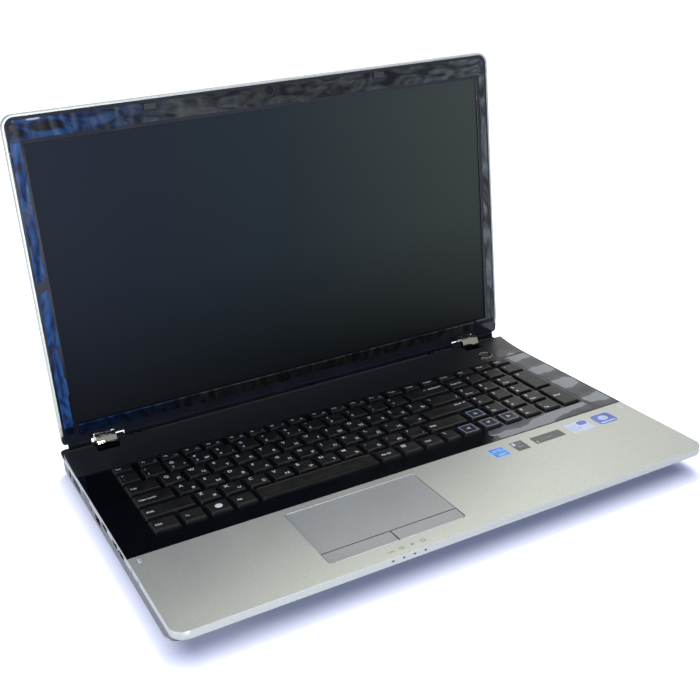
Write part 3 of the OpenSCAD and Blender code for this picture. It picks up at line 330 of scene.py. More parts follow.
for (low, high), fields in zip(islands("stickers"), prints):
    wide, deep = high.x - low.x, high.y - low.y
    for layer, (x0, y0, x1, y1, ink, round_share) in enumerate(fields):
        corner = round_share * min((x1 - x0) * wide, (y1 - y0) * deep)
        slab(shape, (low.x + x0 * wide, low.y + y0 * deep), (low.x + x1 * wide, low.y + y1 * deep),
             low.z, high.z - 0.00002 * (4 - layer), corner, ink)
add_piece("labels", shape, label_inks, "base", ["stickers"])

# Pad frame and corner marks: a painted highlight along the far and near edge of the touchpad
# frame, and a small pale two-line mark printed at each rear corner of the palm rest.

painted_highlight_and_marks, tree, at = new_material("pad_frame_painted_highlight_and_corner_marks")
pale_tone_variation = add_node(tree, "TexNoise", {"Vector": at, "Scale": 1 / 0.008, "Detail": 2})
tone = add_node(tree, "ValToRGB", {"Fac": pale_tone_variation}, [(0.3, "#cfd2c9"), (0.7, "#e6e9e1")])
skin = add_node(tree, "BsdfPrincipled", {"Base Color": tone, "Roughness": 0.35})
add_node(tree, "OutputMaterial", {"Surface": skin})

palm_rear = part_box("keyboard_deck")[0].y
pad_low, pad_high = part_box("touchpad")
left_low, left_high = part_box("touchpad_button_left")
right_low, right_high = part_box("touchpad_button_right")
line_foot, line_top = palm_top - 0.0001, palm_top + 0.00004
shape = bmesh.new()
# These three lines are painted highlights, where the lit walls of the pad's recess show.
for x0, x1, y in [(pad_low.x + 0.005, pad_high.x - 0.006, pad_high.y - 0.0031),
                  (left_low.x + 0.004, left_high.x - 0.001, left_low.y - 0.0009),
                  (right_low.x + 0.001, right_high.x - 0.004, right_low.y - 0.0009)]:
    slab(shape, (x0, y), (x1, y + 0.0007), line_foot, line_top, 0.0003, 0, corners=2)
for side in (-1, 1):
    for x, wide in ((0.1978, 0.0005), (0.1992, 0.0012)):
        slab(shape, (side * x - wide / 2, palm_rear - 0.009),
             (side * x + wide / 2, palm_rear - 0.003), line_foot, line_top, 0.0002, 0, corners=2)
add_piece("palm_rest_painted_highlight_and_corner_marks", shape, [painted_highlight_and_marks], "base")

# Keyboard deck: black ABS with a polished gloss, the sunk frame round the keys. It mirrors
# what stands behind it, and fine dust and fingerprints break the shine a little.

gloss_deck, tree, at = new_material("polished_black_abs_deck")
prints_on = add_node(tree, "TexNoise", {
    "Vector": at, "Scale": 1 / 0.02, "Detail": 6, "Roughness": 0.65})
dull = add_node(tree, "MapRange", {
    "Value": prints_on, "From Min": 0.4, "From Max": 0.75, "To Min": 0.04, "To Max": 0.16})
tone = add_node(tree, "ValToRGB", {"Fac": prints_on}, [(0.35, "#07080a"), (0.7, "#0e0f12")])
skin = add_node(tree, "BsdfPrincipled", {"Base Color": tone, "Roughness": dull})
add_node(tree, "OutputMaterial", {"Surface": skin})
paint(gloss_deck, "keyboard_deck")
round_edges(0.0003, "keyboard_deck")

# Protective film on the deck: a clear polyethylene film, cut and peeled back so that it
# still covers the right margin and part of the front one. It is wrinkled and dusty.

film_thick = 0.00006


def sheet(name, low, high, step, inside, height, material, body, at=None):
    shape = bmesh.new()
    across = round((high[0] - low[0]) / step)
    along = round((high[1] - low[1]) / step)
    verts = {}
    for i in range(across):
        for j in range(along):
            x, y = low[0] + (i + 0.5) * step, low[1] + (j + 0.5) * step
            if not inside(x, y):
                continue
            corners = []
            for key in ((i, j), (i + 1, j), (i + 1, j + 1), (i, j + 1)):
                if key not in verts:
                    px = min(max(low[0] + key[0] * step, low[0]), high[0])
                    py = min(max(low[1] + key[1] * step, low[1]), high[1])
                    verts[key] = shape.verts.new((px, py, height(px, py)))
                corners.append(verts[key])
            shape.faces.new(corners)
    for _ in range(3):
        edge = [v for v in shape.verts if v.is_boundary]
        bmesh.ops.smooth_vert(shape, verts=edge, factor=0.5, use_axis_x=True, use_axis_y=True)
    bmesh.ops.solidify(shape, geom=shape.faces[:], thickness=film_thick)
    add_piece(name, shape, [material], body, at=at)


deck_film, tree, at = new_material("dusty_polyethylene_film")
slant = add_node(tree, "Mapping", {"Vector": at, "Rotation": (0, 0, math.radians(-9))})
# The light diagonal bands in the film's colour are painted highlights.
highlight_bands = add_node(tree, "TexWave", {
    "Vector": slant, "Scale": 0.314 / 0.033, "Distortion": 2.2, "Detail": 2,
    "Detail Scale": 1.4, "Phase Offset": 1.7}, bands_direction="Y")
blobs = add_node(tree, "TexNoise", {
    "Vector": at, "Scale": 1 / 0.013, "Detail": 1, "Roughness": 0.4})
low_blobs = add_node(tree, "Math", {0: blobs, 1: 0.28}, operation="SUBTRACT")
painted_highlight = add_node(tree, "Math", {0: highlight_bands.outputs["Fac"], 1: 0.75}, operation="MULTIPLY")
both = add_node(tree, "Math", {0: painted_highlight, 1: low_blobs}, operation="ADD")
tone = add_node(tree, "ValToRGB", {"Fac": both},
                [(0.1, "#363935"), (0.45, "#484b46"), (0.68, "#555853"), (0.71, "#94978d")])
bumps = add_node(tree, "Bump", {"Height": blobs, "Strength": 0.2, "Distance": 0.0008})
skin = add_node(tree, "BsdfPrincipled", {
    "Base Color": tone, "Roughness": 0.22, "Specular IOR Level": 0.3, "Normal": bumps})
add_node(tree, "OutputMaterial", {"Surface": skin})

deck_low, deck_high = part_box("keyboard_deck")
deck_top = deck_high.z
keys_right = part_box("numpad_plus_key")[1].x
keys_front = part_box("keys_bottom_row")[0].y


def film_edge(x, y, size):
    return noise.noise(Vector((x / size, y / size, 3.1)))


def deck_wave(x, y):
    fold = noise.noise(Vector((x / 0.012, y / 0.03, 1.7)))
    return deck_top + 0.00008 + 0.0003 * abs(fold)


film_step = 0.0015
film_margin = 0.0012
film_left, torn_left = 0.082, 0.09
sheet("deck_film_right", (keys_right + 0.0015, deck_low.y + 0.001),
      (deck_high.x - film_margin, deck_high.y - 0.001), film_step,
      lambda x, y: x > keys_right + 0.0035 + 0.0015 * film_edge(x, y, 0.01),
      deck_wave, deck_film, "base")
sheet("deck_film_front", (film_left, deck_low.y + 0.001),
      (keys_right + 0.0015, keys_front - 0.0015), film_step,
      lambda x, y: x > torn_left + 0.010 * film_edge(0, y, 0.006) - 0.4 * (y - deck_low.y),
      deck_wave, deck_film, "base")

# Rear strip: a satin charcoal ABS strip that climbs to the hinges, moulded with a fine grain
# and left dull on the shelf under the lid, in painted shade. Its right end keeps a scrap of the
# deck's film.

satin_strip, tree, at = new_material("satin_charcoal_abs")
# Real grain is some 0.2 mm across. It is drawn at 0.9 mm, so that it shows.
grain = add_node(tree, "TexNoise", {"Vector": at, "Scale": 1 / 0.0009, "Detail": 2})
tone = add_node(tree, "ValToRGB", {"Fac": grain}, [(0.35, "#1f2120"), (0.65, "#272928")])
spot = add_node(tree, "SeparateXYZ", {"Vector": at})
# On the shelf under the lid the colour is cut to a tenth: a painted shade.
shelf_front, shelf_back = 0.1152, 0.1162
dull, shelf_painted_shade = [add_node(tree, "MapRange", {
    "Value": spot.outputs["Y"], "From Min": shelf_front, "From Max": shelf_back,
    "To Min": before, "To Max": on_shelf}) for before, on_shelf in ((0.38, 1), (1, 0.1))]
tone = add_node(tree, "MixRGB", {"Fac": 1, "Color1": tone, "Color2": shelf_painted_shade}, blend_type="MULTIPLY")
bumps = add_node(tree, "Bump", {"Height": grain, "Strength": 0.15, "Distance": 0.0002})
skin = add_node(tree, "BsdfPrincipled", {
    "Base Color": tone, "Roughness": dull, "Specular IOR Level": 0.26, "Normal": bumps})
add_node(tree, "OutputMaterial", {"Surface": skin})
paint(satin_strip, "rear_strip", "power_button")


def surface_of(name, at=Matrix()):
    mesh = nodes[name].data
    back = at.inverted()
    return BVHTree.FromPolygons(
        [back @ v.co for v in mesh.vertices], [face.vertices[:] for face in mesh.polygons])


def height_on(surface, x, y, otherwise):
    spot = surface.ray_cast(Vector((x, y, 0.5)), Vector((0, 0, -1)))[0]
    return spot.z if spot else otherwise


strip_surface = surface_of("rear_strip")


def strip_wave(x, y):
    return height_on(strip_surface, x, y, deck_top) + 0.0001 + deck_wave(x, y) - deck_top


strip_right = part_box("rear_strip")[1].x
sheet("strip_film", (keys_right - 0.006, deck_high.y + 0.001),
      (strip_right - film_margin, deck_high.y + 0.021), film_step,
      lambda x, y:
      y - deck_high.y < 0.013 + 0.30 * (x - keys_right) + 0.004 * film_edge(x, 1, 0.008)
      and x > keys_right - 0.004 + 0.4 * (y - deck_high.y),
      strip_wave, deck_film, "base")
round_edges(0.0003, "rear_strip")

# Keys: injection-moulded black ABS caps, wide at the foot with sides that lean in to a finger
# dish. The space bar is crowned instead. Legends are lasered and filled with white paint.

lean_in = 0.00125
dish_deep = 0.00022


def cap(shape, low, high, crown):
    profile = [(low.z, 0, 0.0009), (high.z - 0.0019, 0, 0.0009),
               (high.z - 0.00045, 0.00075, 0.0012), (high.z - 0.00012, 0.00098, 0.0013),
               (high.z, lean_in, 0.0014)]
    rings = []
    for z, inset, radius in profile:
        ring = []
        x1, y1 = high.x - inset - radius, high.y - inset - radius
        x0, y0 = low.x + inset + radius, low.y + inset + radius
        for corner, (x, y) in enumerate([(x1, y1), (x0, y1), (x0, y0), (x1, y0)]):
            for i in range(5):
                turn = math.radians(90 * corner + 22.5 * i)
                ring.append(Vector((x + radius * math.cos(turn), y + radius * math.sin(turn), z)))
        rings.append(ring)
    middle = (low + high) / 2
    for share in (0.72, 0.4):
        rings.append([Vector((middle.x + (p.x - middle.x) * share,
                              middle.y + (p.y - middle.y) * share,
                              dish(low, high, crown, share))) for p in rings[4]])
    if crown:
        for p in rings[4]:
            p.z = dish(low, high, crown, 1)
    made = [[shape.verts.new(p) for p in ring] for ring in rings]
    for below, above in zip(made, made[1:]):
        for i in range(20):
            j = (i + 1) % 20
            shape.faces.new((below[i], below[j], above[j], above[i]))
    tip = shape.verts.new((middle.x, middle.y, dish(low, high, crown, 0)))
    for i in range(20):
        shape.faces.new((made[-1][i], made[-1][(i + 1) % 20], tip))
    shape.faces.new(made[0][::-1])


def dish(low, high, crown, share):
    return high.z - dish_deep * ((share * share) if crown else (1 - share * share))


def cap_surface(low, high, crown):
    middle = (low + high) / 2
    wide, deep = (high.x - low.x) / 2 - lean_in, (high.y - low.y) / 2 - lean_in
    return lambda x, y: dish(low, high, crown, min(1, max(abs(x - middle.x) / wide,
                                                          abs(y - middle.y) / deep)))


key_plastic, tree, at = new_material("satin_black_keycap_abs")
# Real grain is some 0.1 mm across. It is drawn at 0.7 mm, so that it shows.
grain = add_node(tree, "TexNoise", {"Vector": at, "Scale": 1 / 0.0007, "Detail": 2})
shine = add_node(tree, "TexNoise", {"Vector": at, "Scale": 1 / 0.009, "Detail": 2})
# The colour follows facing: painted shade on the steep sides, a painted highlight on the bevel.
facing_for_shade_and_gloss = add_node(tree, "SeparateXYZ", {"Vector": add_node(tree, "NewGeometry").outputs["Normal"]})
tone = add_node(tree, "ValToRGB", {"Fac": facing_for_shade_and_gloss.outputs["Z"]},
                [(0.3, "#040405"), (0.6, "#0a0b0b"), (0.9, "#191b1c"), (0.985, "#0e0f0f")])
worn = add_node(tree, "MapRange", {
    "Value": shine, "From Min": 0.3, "From Max": 0.7, "To Min": 0.36, "To Max": 0.52})
steep = add_node(tree, "MapRange", {
    "Value": facing_for_shade_and_gloss.outputs["Z"], "From Min": 0.4, "From Max": 0.95, "To Min": 0.5, "To Max": 0})
dull = add_node(tree, "Math", {0: worn, 1: steep}, operation="ADD")
bumps = add_node(tree, "Bump", {"Height": grain, "Strength": 0.15, "Distance": 0.0002})
skin = add_node(tree, "BsdfPrincipled", {
    "Base Color": tone, "Roughness": dull, "Specular IOR Level": 0.2, "Normal": bumps})
add_node(tree, "OutputMaterial", {"Surface": skin})

inks = []
for name, thin, full in [("white_legend_paint", "#eae8da", "#fffdec"),
                         ("blue_grey_legend_paint", "#8ea4ba", "#b4c8dc")]:
    material, tree, at = new_material(name)
    worn = add_node(tree, "TexNoise", {"Vector": at, "Scale": 1 / 0.002, "Detail": 2})
    tone = add_node(tree, "ValToRGB", {"Fac": worn}, [(0.3, thin), (0.55, full)])
    skin = add_node(tree, "BsdfPrincipled", {"Base Color": tone, "Roughness": 0.5})
    add_node(tree, "OutputMaterial", {"Surface": skin})
    inks.append(material)

# One word for each cap from the left. Semicolons part the three legends of a number key, a
# comma the two of a key with a second use, and a space the Latin and Cyrillic letters.
legends = {
    "keys_function_row": "Esc|F1,z|F2,▭|F3,□|F4,☼|F5,◐|F6,♪|F7,×|F8,▼|F9,▲|"
                         "F10,≡|F11,⌂|F12,○|PrtSc|Insert|Delete|Home|End|PgUp|PgDn",
    "keys_number_row": "~;`;|!;1;|@;2;\"|#;3;№|$;4;;|%;5;|^;6;:|&;7;?|*;8;|(;9;|);0;|_;-;|+;=;|"
                       "Num Lk|/|*|-",
    "keys_tab_row": "Tab|Q Й|W Ц|E У|R К|T Е|Y Н|U Г|I Ш|O Щ|"
                    "P З|[ Х|] Ъ|\\ /|7,Home|8,▲|9,PgUp",
    "keys_home_row": "Caps Lock|A Ф|S Ы|D В|F А|G П|H Р|J О|K Л|"
                     "L Д|; Ж|' Э|4,◄|5,|6,►",
    "keys_shift_row": "Shift|Z Я|X Ч|C С|V М|B И|N Т|M Ь|, Б|. Ю|"
                      "/ .|Shift|▲|1,End|2,▼|3,PgDn",
    "keys_bottom_row": "Ctrl|Fn|●|Alt|Alt Gr|▤|Ctrl|\\|◄|▼|►|0,Ins|.,Del",
    "space_bar": "", "enter_key": "Enter ↵", "backspace_key": "←  Backspace",
    "numpad_plus_key": "+", "numpad_enter_key": "Enter"}
arrows = "◄▼►▲"
print_margin = 0.0026
frame_inset = Vector((0.0024, 0.0024, 0))
line_half = 0.00018
for row, words in legends.items():
    shape = bmesh.new()
    marks, framed = [], []
    for (low, high), word in zip(islands(row), words.split("|")):
        crown = row == "space_bar"
        cap(shape, low, high, crown)
        top = cap_surface(low, high, crown)
        left, right = low.x + print_margin, high.x - print_margin
        near, far = low.y + 0.0033, high.y - print_margin
        middle = (low + high) / 2
        parts = word.split(" ")
        if word.count(";") >= 2:
            upper, digit, other = word.split(";", 2)
            marks += [(upper, left, far - 0.0026, 0.0036, "LEFT", top, 0),
                      (digit, left, near, 0.0040, "LEFT", top, 0),
                      (other, right, near, 0.0036, "RIGHT", top, 0)]
        elif row == "keys_function_row":
            names = word.split(",")
            marks.append((names[0], left - 0.0004, middle.y - 0.0006, 0.0028, "LEFT", top, 0))
            if len(names) > 1:
                marks.append((names[1], right + 0.0004, near - 0.0008, 0.0030, "RIGHT", top, 1))
        elif "," in word and len(word) > 1 and word[1] == ",":
            marks += [(word[0], left, far - 0.0032, 0.0044, "LEFT", top, 0),
                      (word[2:], left, near, 0.0026, "LEFT", top, 0)]
        elif word and word in arrows:
            marks.append((word, middle.x, middle.y - 0.0013, 0.0040, "CENTER", top, 1))
            framed.append((low + frame_inset, high - frame_inset))
        elif word == "●":
            marks.append((word, middle.x, middle.y - 0.0024, 0.0072, "CENTER", top, 0))
        elif len(parts) == 2 and len(parts[0]) == 1 and len(parts[1]) == 1:
            marks += [(parts[0], left, far - 0.0032, 0.0045, "LEFT", top, 0),
                      (parts[1], right, near, 0.0041, "RIGHT", top, 0)]
        elif row in ("enter_key", "backspace_key"):
            marks.append((word, right, far - 0.0030, 0.0030, "RIGHT", top, 0))
        elif len(word) == 1:
            marks.append((word, left, far - 0.0036, 0.0048, "LEFT", top, 0))
        elif word:
            ink = 1 if word == "Fn" else 0
            marks.append((word, left, middle.y - 0.0011, 0.0031, "LEFT", top, ink))
    body = row if row in frame["bodies"] else "base"
    add_piece(row + "_caps", shape, [key_plastic], body, [row])
    marks = [mark for mark in marks if mark[0]]
    if marks:
        print_marks(row + "_legends", marks, inks, body)
    if framed:
        shape = bmesh.new()
        for low, high in framed:
            for x0, y0, x1, y1 in [(low.x, low.y, high.x, low.y), (low.x, high.y, high.x, high.y),
                                   (low.x, low.y, low.x, high.y), (high.x, low.y, high.x, high.y)]:
                slab(shape, (x0 - line_half, y0 - line_half), (x1 + line_half, y1 + line_half),
                     high.z - 0.0003, high.z - 0.00002, 0.0001, 1, corners=1)
        add_piece(row + "_frames", shape, inks, body)

# Power button: a round charcoal ABS cap in a dark chrome ring at the strip's right end, with a
# power symbol pad-printed on its sloping top.

button_low, button_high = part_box("power_button")
button_x, button_y = (button_low.x + button_high.x) / 2, (button_low.y + button_high.y) / 2
print_marks("power_symbol", [
    ("⏻", button_x, button_y - 0.0021, 0.0052, "CENTER",
     lambda x, y: button_high.z - 0.0002 + (y - button_high.y + 0.0008) * 0.0592, 0)],
    [grey_ink], "power_button")

# Lid back: the outer shell of the lid, moulded in ABS and sprayed with the same silver paint as
# the palm rest, with a rim that wraps round the bezel.

paint(silver_paint, "lid_back_cover")
round_edges(0.0005, "lid_back_cover")

# Bezel: a polished black ABS frame clipped into the shell round the screen, with four soft
# black bumpers that keep the closed lid off the palm rest.

hinge = next(joint for joint in frame["joints"] if joint["name"] == "lid_hinge")
lid_at = Matrix.Translation(hinge["pos_m"]) @ Matrix.Rotation(
    math.radians(180 - hinge["range_deg"][1]), 4, "X")
lid_back = lid_at.inverted()

bezel_plastic, tree, at = new_material("polished_black_abs_bezel")
prints_on = add_node(tree, "TexNoise", {
    "Vector": at, "Scale": 1 / 0.03, "Detail": 5, "Roughness": 0.6})
tone = add_node(tree, "ValToRGB", {"Fac": prints_on}, [(0.35, "#0a0c11"), (0.7, "#10131a")])
dull = add_node(tree, "MapRange", {
    "Value": prints_on, "From Min": 0.4, "From Max": 0.75, "To Min": 0.06, "To Max": 0.22})
skin = add_node(tree, "BsdfPrincipled", {
    "Base Color": tone, "Roughness": dull, "Specular IOR Level": 0.35})
add_node(tree, "OutputMaterial", {"Surface": skin})
paint(bezel_plastic, "lid_bezel")
round_edges(0.0003, "lid_bezel")

rubber, tree, at = new_material("black_moulded_rubber")
# Real grain is some 0.2 mm across. It is drawn at 1 mm, so that it shows.
grain = add_node(tree, "TexNoise", {"Vector": at, "Scale": 1 / 0.001, "Detail": 3})
tone = add_node(tree, "ValToRGB", {"Fac": grain}, [(0.3, "#131314"), (0.7, "#1d1d1e")])
bumps = add_node(tree, "Bump", {"Height": grain, "Strength": 0.4, "Distance": 0.0003})
skin = add_node(tree, "BsdfPrincipled", {"Base Color": tone, "Roughness": 0.75, "Normal": bumps})
add_node(tree, "OutputMaterial", {"Surface": skin})
paint(rubber, "lid_bumpers", "rubber_feet")
round_edges(0.0004, "lid_bumpers", "rubber_feet")

# Screen: a liquid crystal panel behind a matte anti-glare film, switched off. The film's colour
# holds a painted reflection: blue-black on the left, greyer on the right, darker towards the
# bottom.

screen_film, tree, at = new_material("anti_glare_screen_film")
spot = add_node(tree, "SeparateXYZ", {"Vector": at})
across = add_node(tree, "MapRange", {
    "Value": spot.outputs["X"], "From Min": -0.19, "From Max": 0.19, "To Min": 0, "To Max": 1})
upward = add_node(tree, "MapRange", {
    "Value": spot.outputs["Z"], "From Min": 0.045, "From Max": 0.25, "To Min": 0, "To Max": 1})
# A painted reflection: blue-black to grey-green across, darker towards the bottom.
painted_reflection = add_node(tree, "ValToRGB", {"Fac": across},
                [(0.0, "#071220"), (0.5, "#222a2b"), (1.0, "#3d4239")])
painted_dark_bottom = add_node(tree, "ValToRGB", {"Fac": upward},
                 [(0.0, "#585c5e"), (0.5, "#d0d3d4"), (1.0, "#e6e6e6")])
tone = add_node(tree, "MixRGB", {"Fac": 1, "Color1": painted_reflection, "Color2": painted_dark_bottom}, blend_type="MULTIPLY")
# Real frosting is some 0.05 mm across. It is drawn at 0.8 mm, so that it shows.
grain = add_node(tree, "TexNoise", {"Vector": at, "Scale": 1 / 0.0008, "Detail": 1})
bumps = add_node(tree, "Bump", {"Height": grain, "Strength": 0.05, "Distance": 0.0001})
skin = add_node(tree, "BsdfPrincipled", {
    "Base Color": tone, "Roughness": 0.42, "Specular IOR Level": 0.06, "Normal": bumps})
add_node(tree, "OutputMaterial", {"Surface": skin})
paint(screen_film, "lcd_panel")

# Webcam: a round window of smoked acrylic pressed into the bezel over the camera. It is moulded
# glossy, so it is the darkest spot of the lid with one sharp glint.

dark_glass, tree, at = new_material("smoked_acrylic_window")
tint_noise = add_node(tree, "TexNoise", {"Vector": at, "Scale": 1 / 0.002, "Detail": 1})
tone = add_node(tree, "ValToRGB", {"Fac": tint_noise}, [(0.3, "#050508"), (0.7, "#0e0c16")])
skin = add_node(tree, "BsdfPrincipled", {
    "Base Color": tone, "Roughness": 0.05, "Specular IOR Level": 0.2})
add_node(tree, "OutputMaterial", {"Surface": skin})
paint(dark_glass, "webcam_lens")

# Protective film on the bezel: the same thin clear film, still on all four sides of the bezel.
# It has lifted and creased; its colour holds painted reflections, blue on the left, grey on the
# right.

bezel_film, tree, at = new_material("wrinkled_polyethylene_film")
spot = add_node(tree, "SeparateXYZ", {"Vector": at})
top_side = 0.237
on_top = add_node(tree, "Math", {0: spot.outputs["Y"], 1: top_side}, operation="GREATER_THAN")
tall = add_node(tree, "Mapping", {"Vector": at, "Scale": (1, 0.35, 1)})
wide = add_node(tree, "Mapping", {"Vector": at, "Scale": (0.4, 1, 1)})
pulled = add_node(tree, "MixRGB", {"Fac": on_top, "Color1": tall, "Color2": wide})
creases = add_node(tree, "TexNoise", {
    "Vector": pulled, "Scale": 1 / 0.013, "Detail": 4, "Roughness": 0.5, "Distortion": 2.2})
# These ramps paint the film's reflections, mottled along the creases.
blue = add_node(tree, "ValToRGB", {"Fac": creases},
                [(0.34, "#07162f"), (0.44, "#0e2a52"), (0.52, "#1a487a"), (0.7, "#2f6494")])
grey = add_node(tree, "ValToRGB", {"Fac": creases},
                [(0.34, "#232623"), (0.44, "#353834"), (0.54, "#4b4e48"), (0.72, "#666961")])
side = add_node(tree, "MapRange", {
    "Value": spot.outputs["X"], "From Min": -0.16, "From Max": -0.08, "To Min": 0, "To Max": 1})
tone = add_node(tree, "MixRGB", {"Fac": side, "Color1": blue, "Color2": grey})
# Two ovals of painted shade where the film stands off the bezel, and the painted glint of a fold.
for place, reach, colour in [((-0.173, 0.2464, 0), (0.0145, 0.0038, 1), "#04070c"),
                             ((-0.1935, 0.2440, 0), (0.0040, 0.0032, 1), "#04070c"),
                             ((-0.182, 0.2524, 0), (0.0052, 0.0010, 1), "#e8eef6")]:
    away = add_node(tree, "VectorMath", {0: at, 1: place}, operation="SUBTRACT")
    flat = add_node(tree, "VectorMath", {0: away, 1: [1 / r for r in reach]}, operation="MULTIPLY")
    away = add_node(tree, "VectorMath", {0: flat}, operation="LENGTH")
    share = add_node(tree, "MapRange", {
        "Value": away.outputs["Value"], "From Min": 0.75, "From Max": 1.1,
        "To Min": 1, "To Max": 0})
    tone = add_node(tree, "MixRGB", {"Fac": share, "Color1": tone, "Color2": linear(colour)})
# The painted reflections are dimmed almost away below the screen, where the film sticks flat,
# made stronger on the right side and weaker along the top.
for place, start, end, reflection_from, reflection_to in [(spot.outputs["Y"], 0.0178, 0.0190, 0.07, 0.7),
                                         (spot.outputs["X"], 0.1, 0.19, 0.78, 1.6),
                                         (on_top, 0, 1, 1, 0.7)]:
    share = add_node(tree, "MapRange", {
        "Value": place, "From Min": start, "From Max": end, "To Min": reflection_from, "To Max": reflection_to})
    tone = add_node(tree, "MixRGB", {
        "Fac": 1, "Color1": tone, "Color2": share}, blend_type="MULTIPLY")
bumps = add_node(tree, "Bump", {"Height": creases, "Strength": 0.2, "Distance": 0.001})
skin = add_node(tree, "BsdfPrincipled", {
    "Base Color": tone, "Roughness": 0.36, "Specular IOR Level": 0.08, "Normal": bumps})
add_node(tree, "OutputMaterial", {"Surface": skin})


def mesh_in_lid(name):
    found = [lid_back @ v.co for v in nodes[name].data.vertices]
    return Vector([min(c[k] for c in found) for k in range(3)]), \
        Vector([max(c[k] for c in found) for k in range(3)])


bezel_high = mesh_in_lid("lid_bezel")[1]
panel_low, panel_high = mesh_in_lid("lcd_panel")
lens_low, lens_high = mesh_in_lid("webcam_lens")
lens_s = (lens_low.y + lens_high.y) / 2
# The bezel laps 5 mm over the screen.
overlap = 0.005
opening = panel_high.x - overlap
opening_top = panel_high.y - overlap
opening_bottom = panel_low.y + overlap
edge_x = bezel_high.x - 0.0008
bezel_surface = surface_of("lid_bezel", lid_at)


def bezel_wave(x, s):
    fold = noise.noise(Vector((x / 0.007, s / 0.022, 5.3)))
    ripple = noise.noise(Vector((x / 0.003, s / 0.006, 9.1)))
    loose = min(1, max(0.12, (s - 0.02) / 0.02))
    return height_on(bezel_surface, x, s, bezel_high.z) + 0.0001 \
        + loose * (0.0006 * abs(fold) + 0.0001 * abs(ripple))


bezel_step = 0.0014
bumper_x = 0.0969
sheet("bezel_film_left", (-edge_x, 0.012), (-opening - 0.0006, opening_top + 0.008), bezel_step,
      lambda x, s: x < -opening - 0.0010 + 0.0012 * film_edge(x, s, 0.02)
      and abs(s - 0.135 - 0.6 * (x + opening)) > 0.0035,
      bezel_wave, bezel_film, "lid", lid_at)
sheet("bezel_film_right", (opening - 0.013, 0.014), (edge_x, opening_top + 0.004), bezel_step,
      lambda x, s: x > opening + 0.0020 + 0.0010 * film_edge(x, s, 0.02)
      or s < opening_bottom - 0.0015 and x > opening - 0.011 + 0.5 * abs(s - 0.022),
      bezel_wave, bezel_film, "lid", lid_at)
sheet("bezel_film_top", (-edge_x + 0.004, opening_top + 0.0008),
      (edge_x - 0.004, bezel_high.y - 0.0015), bezel_step,
      lambda x, s: s > opening_top + 0.0020 + 0.0012 * film_edge(x, s, 0.02)
      and (Vector((x, s)) - Vector((0, lens_s))).length > 0.0046
      and (abs(abs(x) - bumper_x) > 0.0054 or abs(s - lens_s) > 0.0030),
      bezel_wave, bezel_film, "lid", lid_at)
sheet("bezel_film_bottom", (-opening + 0.001, 0.0085),
      (opening - 0.012, opening_bottom - 0.0004), bezel_step,
      lambda x, s: s > 0.0095 + 0.0015 * film_edge(x, s, 0.02),
      bezel_wave, bezel_film, "lid", lid_at)

# Hinges: two caps of chrome-plated ABS over the barrels at the rear corners, slightly dented,
# and arms of zinc-plated steel inside the lid. The keyboard's plate is the same zinc steel.

chrome, tree, at = new_material("chrome_plated_abs")
wiped = add_node(tree, "TexNoise", {"Vector": at, "Scale": 1 / 0.004, "Detail": 3})
dull = add_node(tree, "MapRange", {
    "Value": wiped, "From Min": 0.3, "From Max": 0.7, "To Min": 0.06, "To Max": 0.16})
dents = add_node(tree, "Bump", {"Height": wiped, "Strength": 0.6, "Distance": 0.002})
skin = add_node(tree, "BsdfPrincipled", {
    "Base Color": linear("#85877e"), "Metallic": 1, "Roughness": dull, "Normal": dents})
add_node(tree, "OutputMaterial", {"Surface": skin})
paint(chrome, "hinge_cap_left", "hinge_cap_right")
round_edges(0.0004, "hinge_cap_left", "hinge_cap_right")

steel, tree, at = new_material("zinc_plated_steel")
spangle = add_node(tree, "TexVoronoi", {"Vector": at, "Scale": 1 / 0.003})
tone = add_node(tree, "ValToRGB", {"Fac": spangle}, [(0.1, "#8a8d90"), (0.8, "#a2a5a8")])
dull = add_node(tree, "MapRange", {
    "Value": spangle, "From Min": 0, "From Max": 1, "To Min": 0.28, "To Max": 0.42})
skin = add_node(tree, "BsdfPrincipled", {"Base Color": tone, "Metallic": 1, "Roughness": dull})
add_node(tree, "OutputMaterial", {"Surface": skin})
paint(steel, "hinge_arm_left", "hinge_arm_right", "keyboard_plate")

# Ports: nickel-plated steel shells and black nylon housings along the left side and at the
# right front, with a dark blue housing for the display socket.

nickel, tree, at = new_material("nickel_plated_steel_shell")
drawn = add_node(tree, "Mapping", {"Vector": at, "Scale": (0.1, 1, 1)})
# Real drawing marks are some 0.1 mm apart. They are drawn at 0.5 mm, so that they show.
lines = add_node(tree, "TexNoise", {"Vector": drawn, "Scale": 1 / 0.0005, "Detail": 2})
dull = add_node(tree, "MapRange", {
    "Value": lines, "From Min": 0.3, "From Max": 0.7, "To Min": 0.2, "To Max": 0.34})
skin = add_node(tree, "BsdfPrincipled", {
    "Base Color": linear("#a9acae"), "Metallic": 1, "Roughness": dull})
add_node(tree, "OutputMaterial", {"Surface": skin})
paint(nickel, "usb_ports", "hdmi_port")

for name, dark, light, members in [
        ("black_glass_filled_nylon", "#1e2022", "#2a2c2f",
         ["lan_port", "dc_jack", "audio_jacks", "speakers"]),
        ("blue_glass_filled_nylon", "#141f3c", "#1b2a4c", ["vga_port"])]:
    material, tree, at = new_material(name)
    fibres = add_node(tree, "TexNoise", {"Vector": at, "Scale": 1 / 0.001, "Detail": 3})
    tone = add_node(tree, "ValToRGB", {"Fac": fibres}, [(0.35, dark), (0.65, light)])
    skin = add_node(tree, "BsdfPrincipled", {"Base Color": tone, "Roughness": 0.5})
    add_node(tree, "OutputMaterial", {"Surface": skin})
    paint(material, *members)

# Screws, ring and brackets: blackened steel machine screws that hold the bottom case to the palm
# rest, the power button's dark chrome ring, and hinge brackets with a dull black coat.

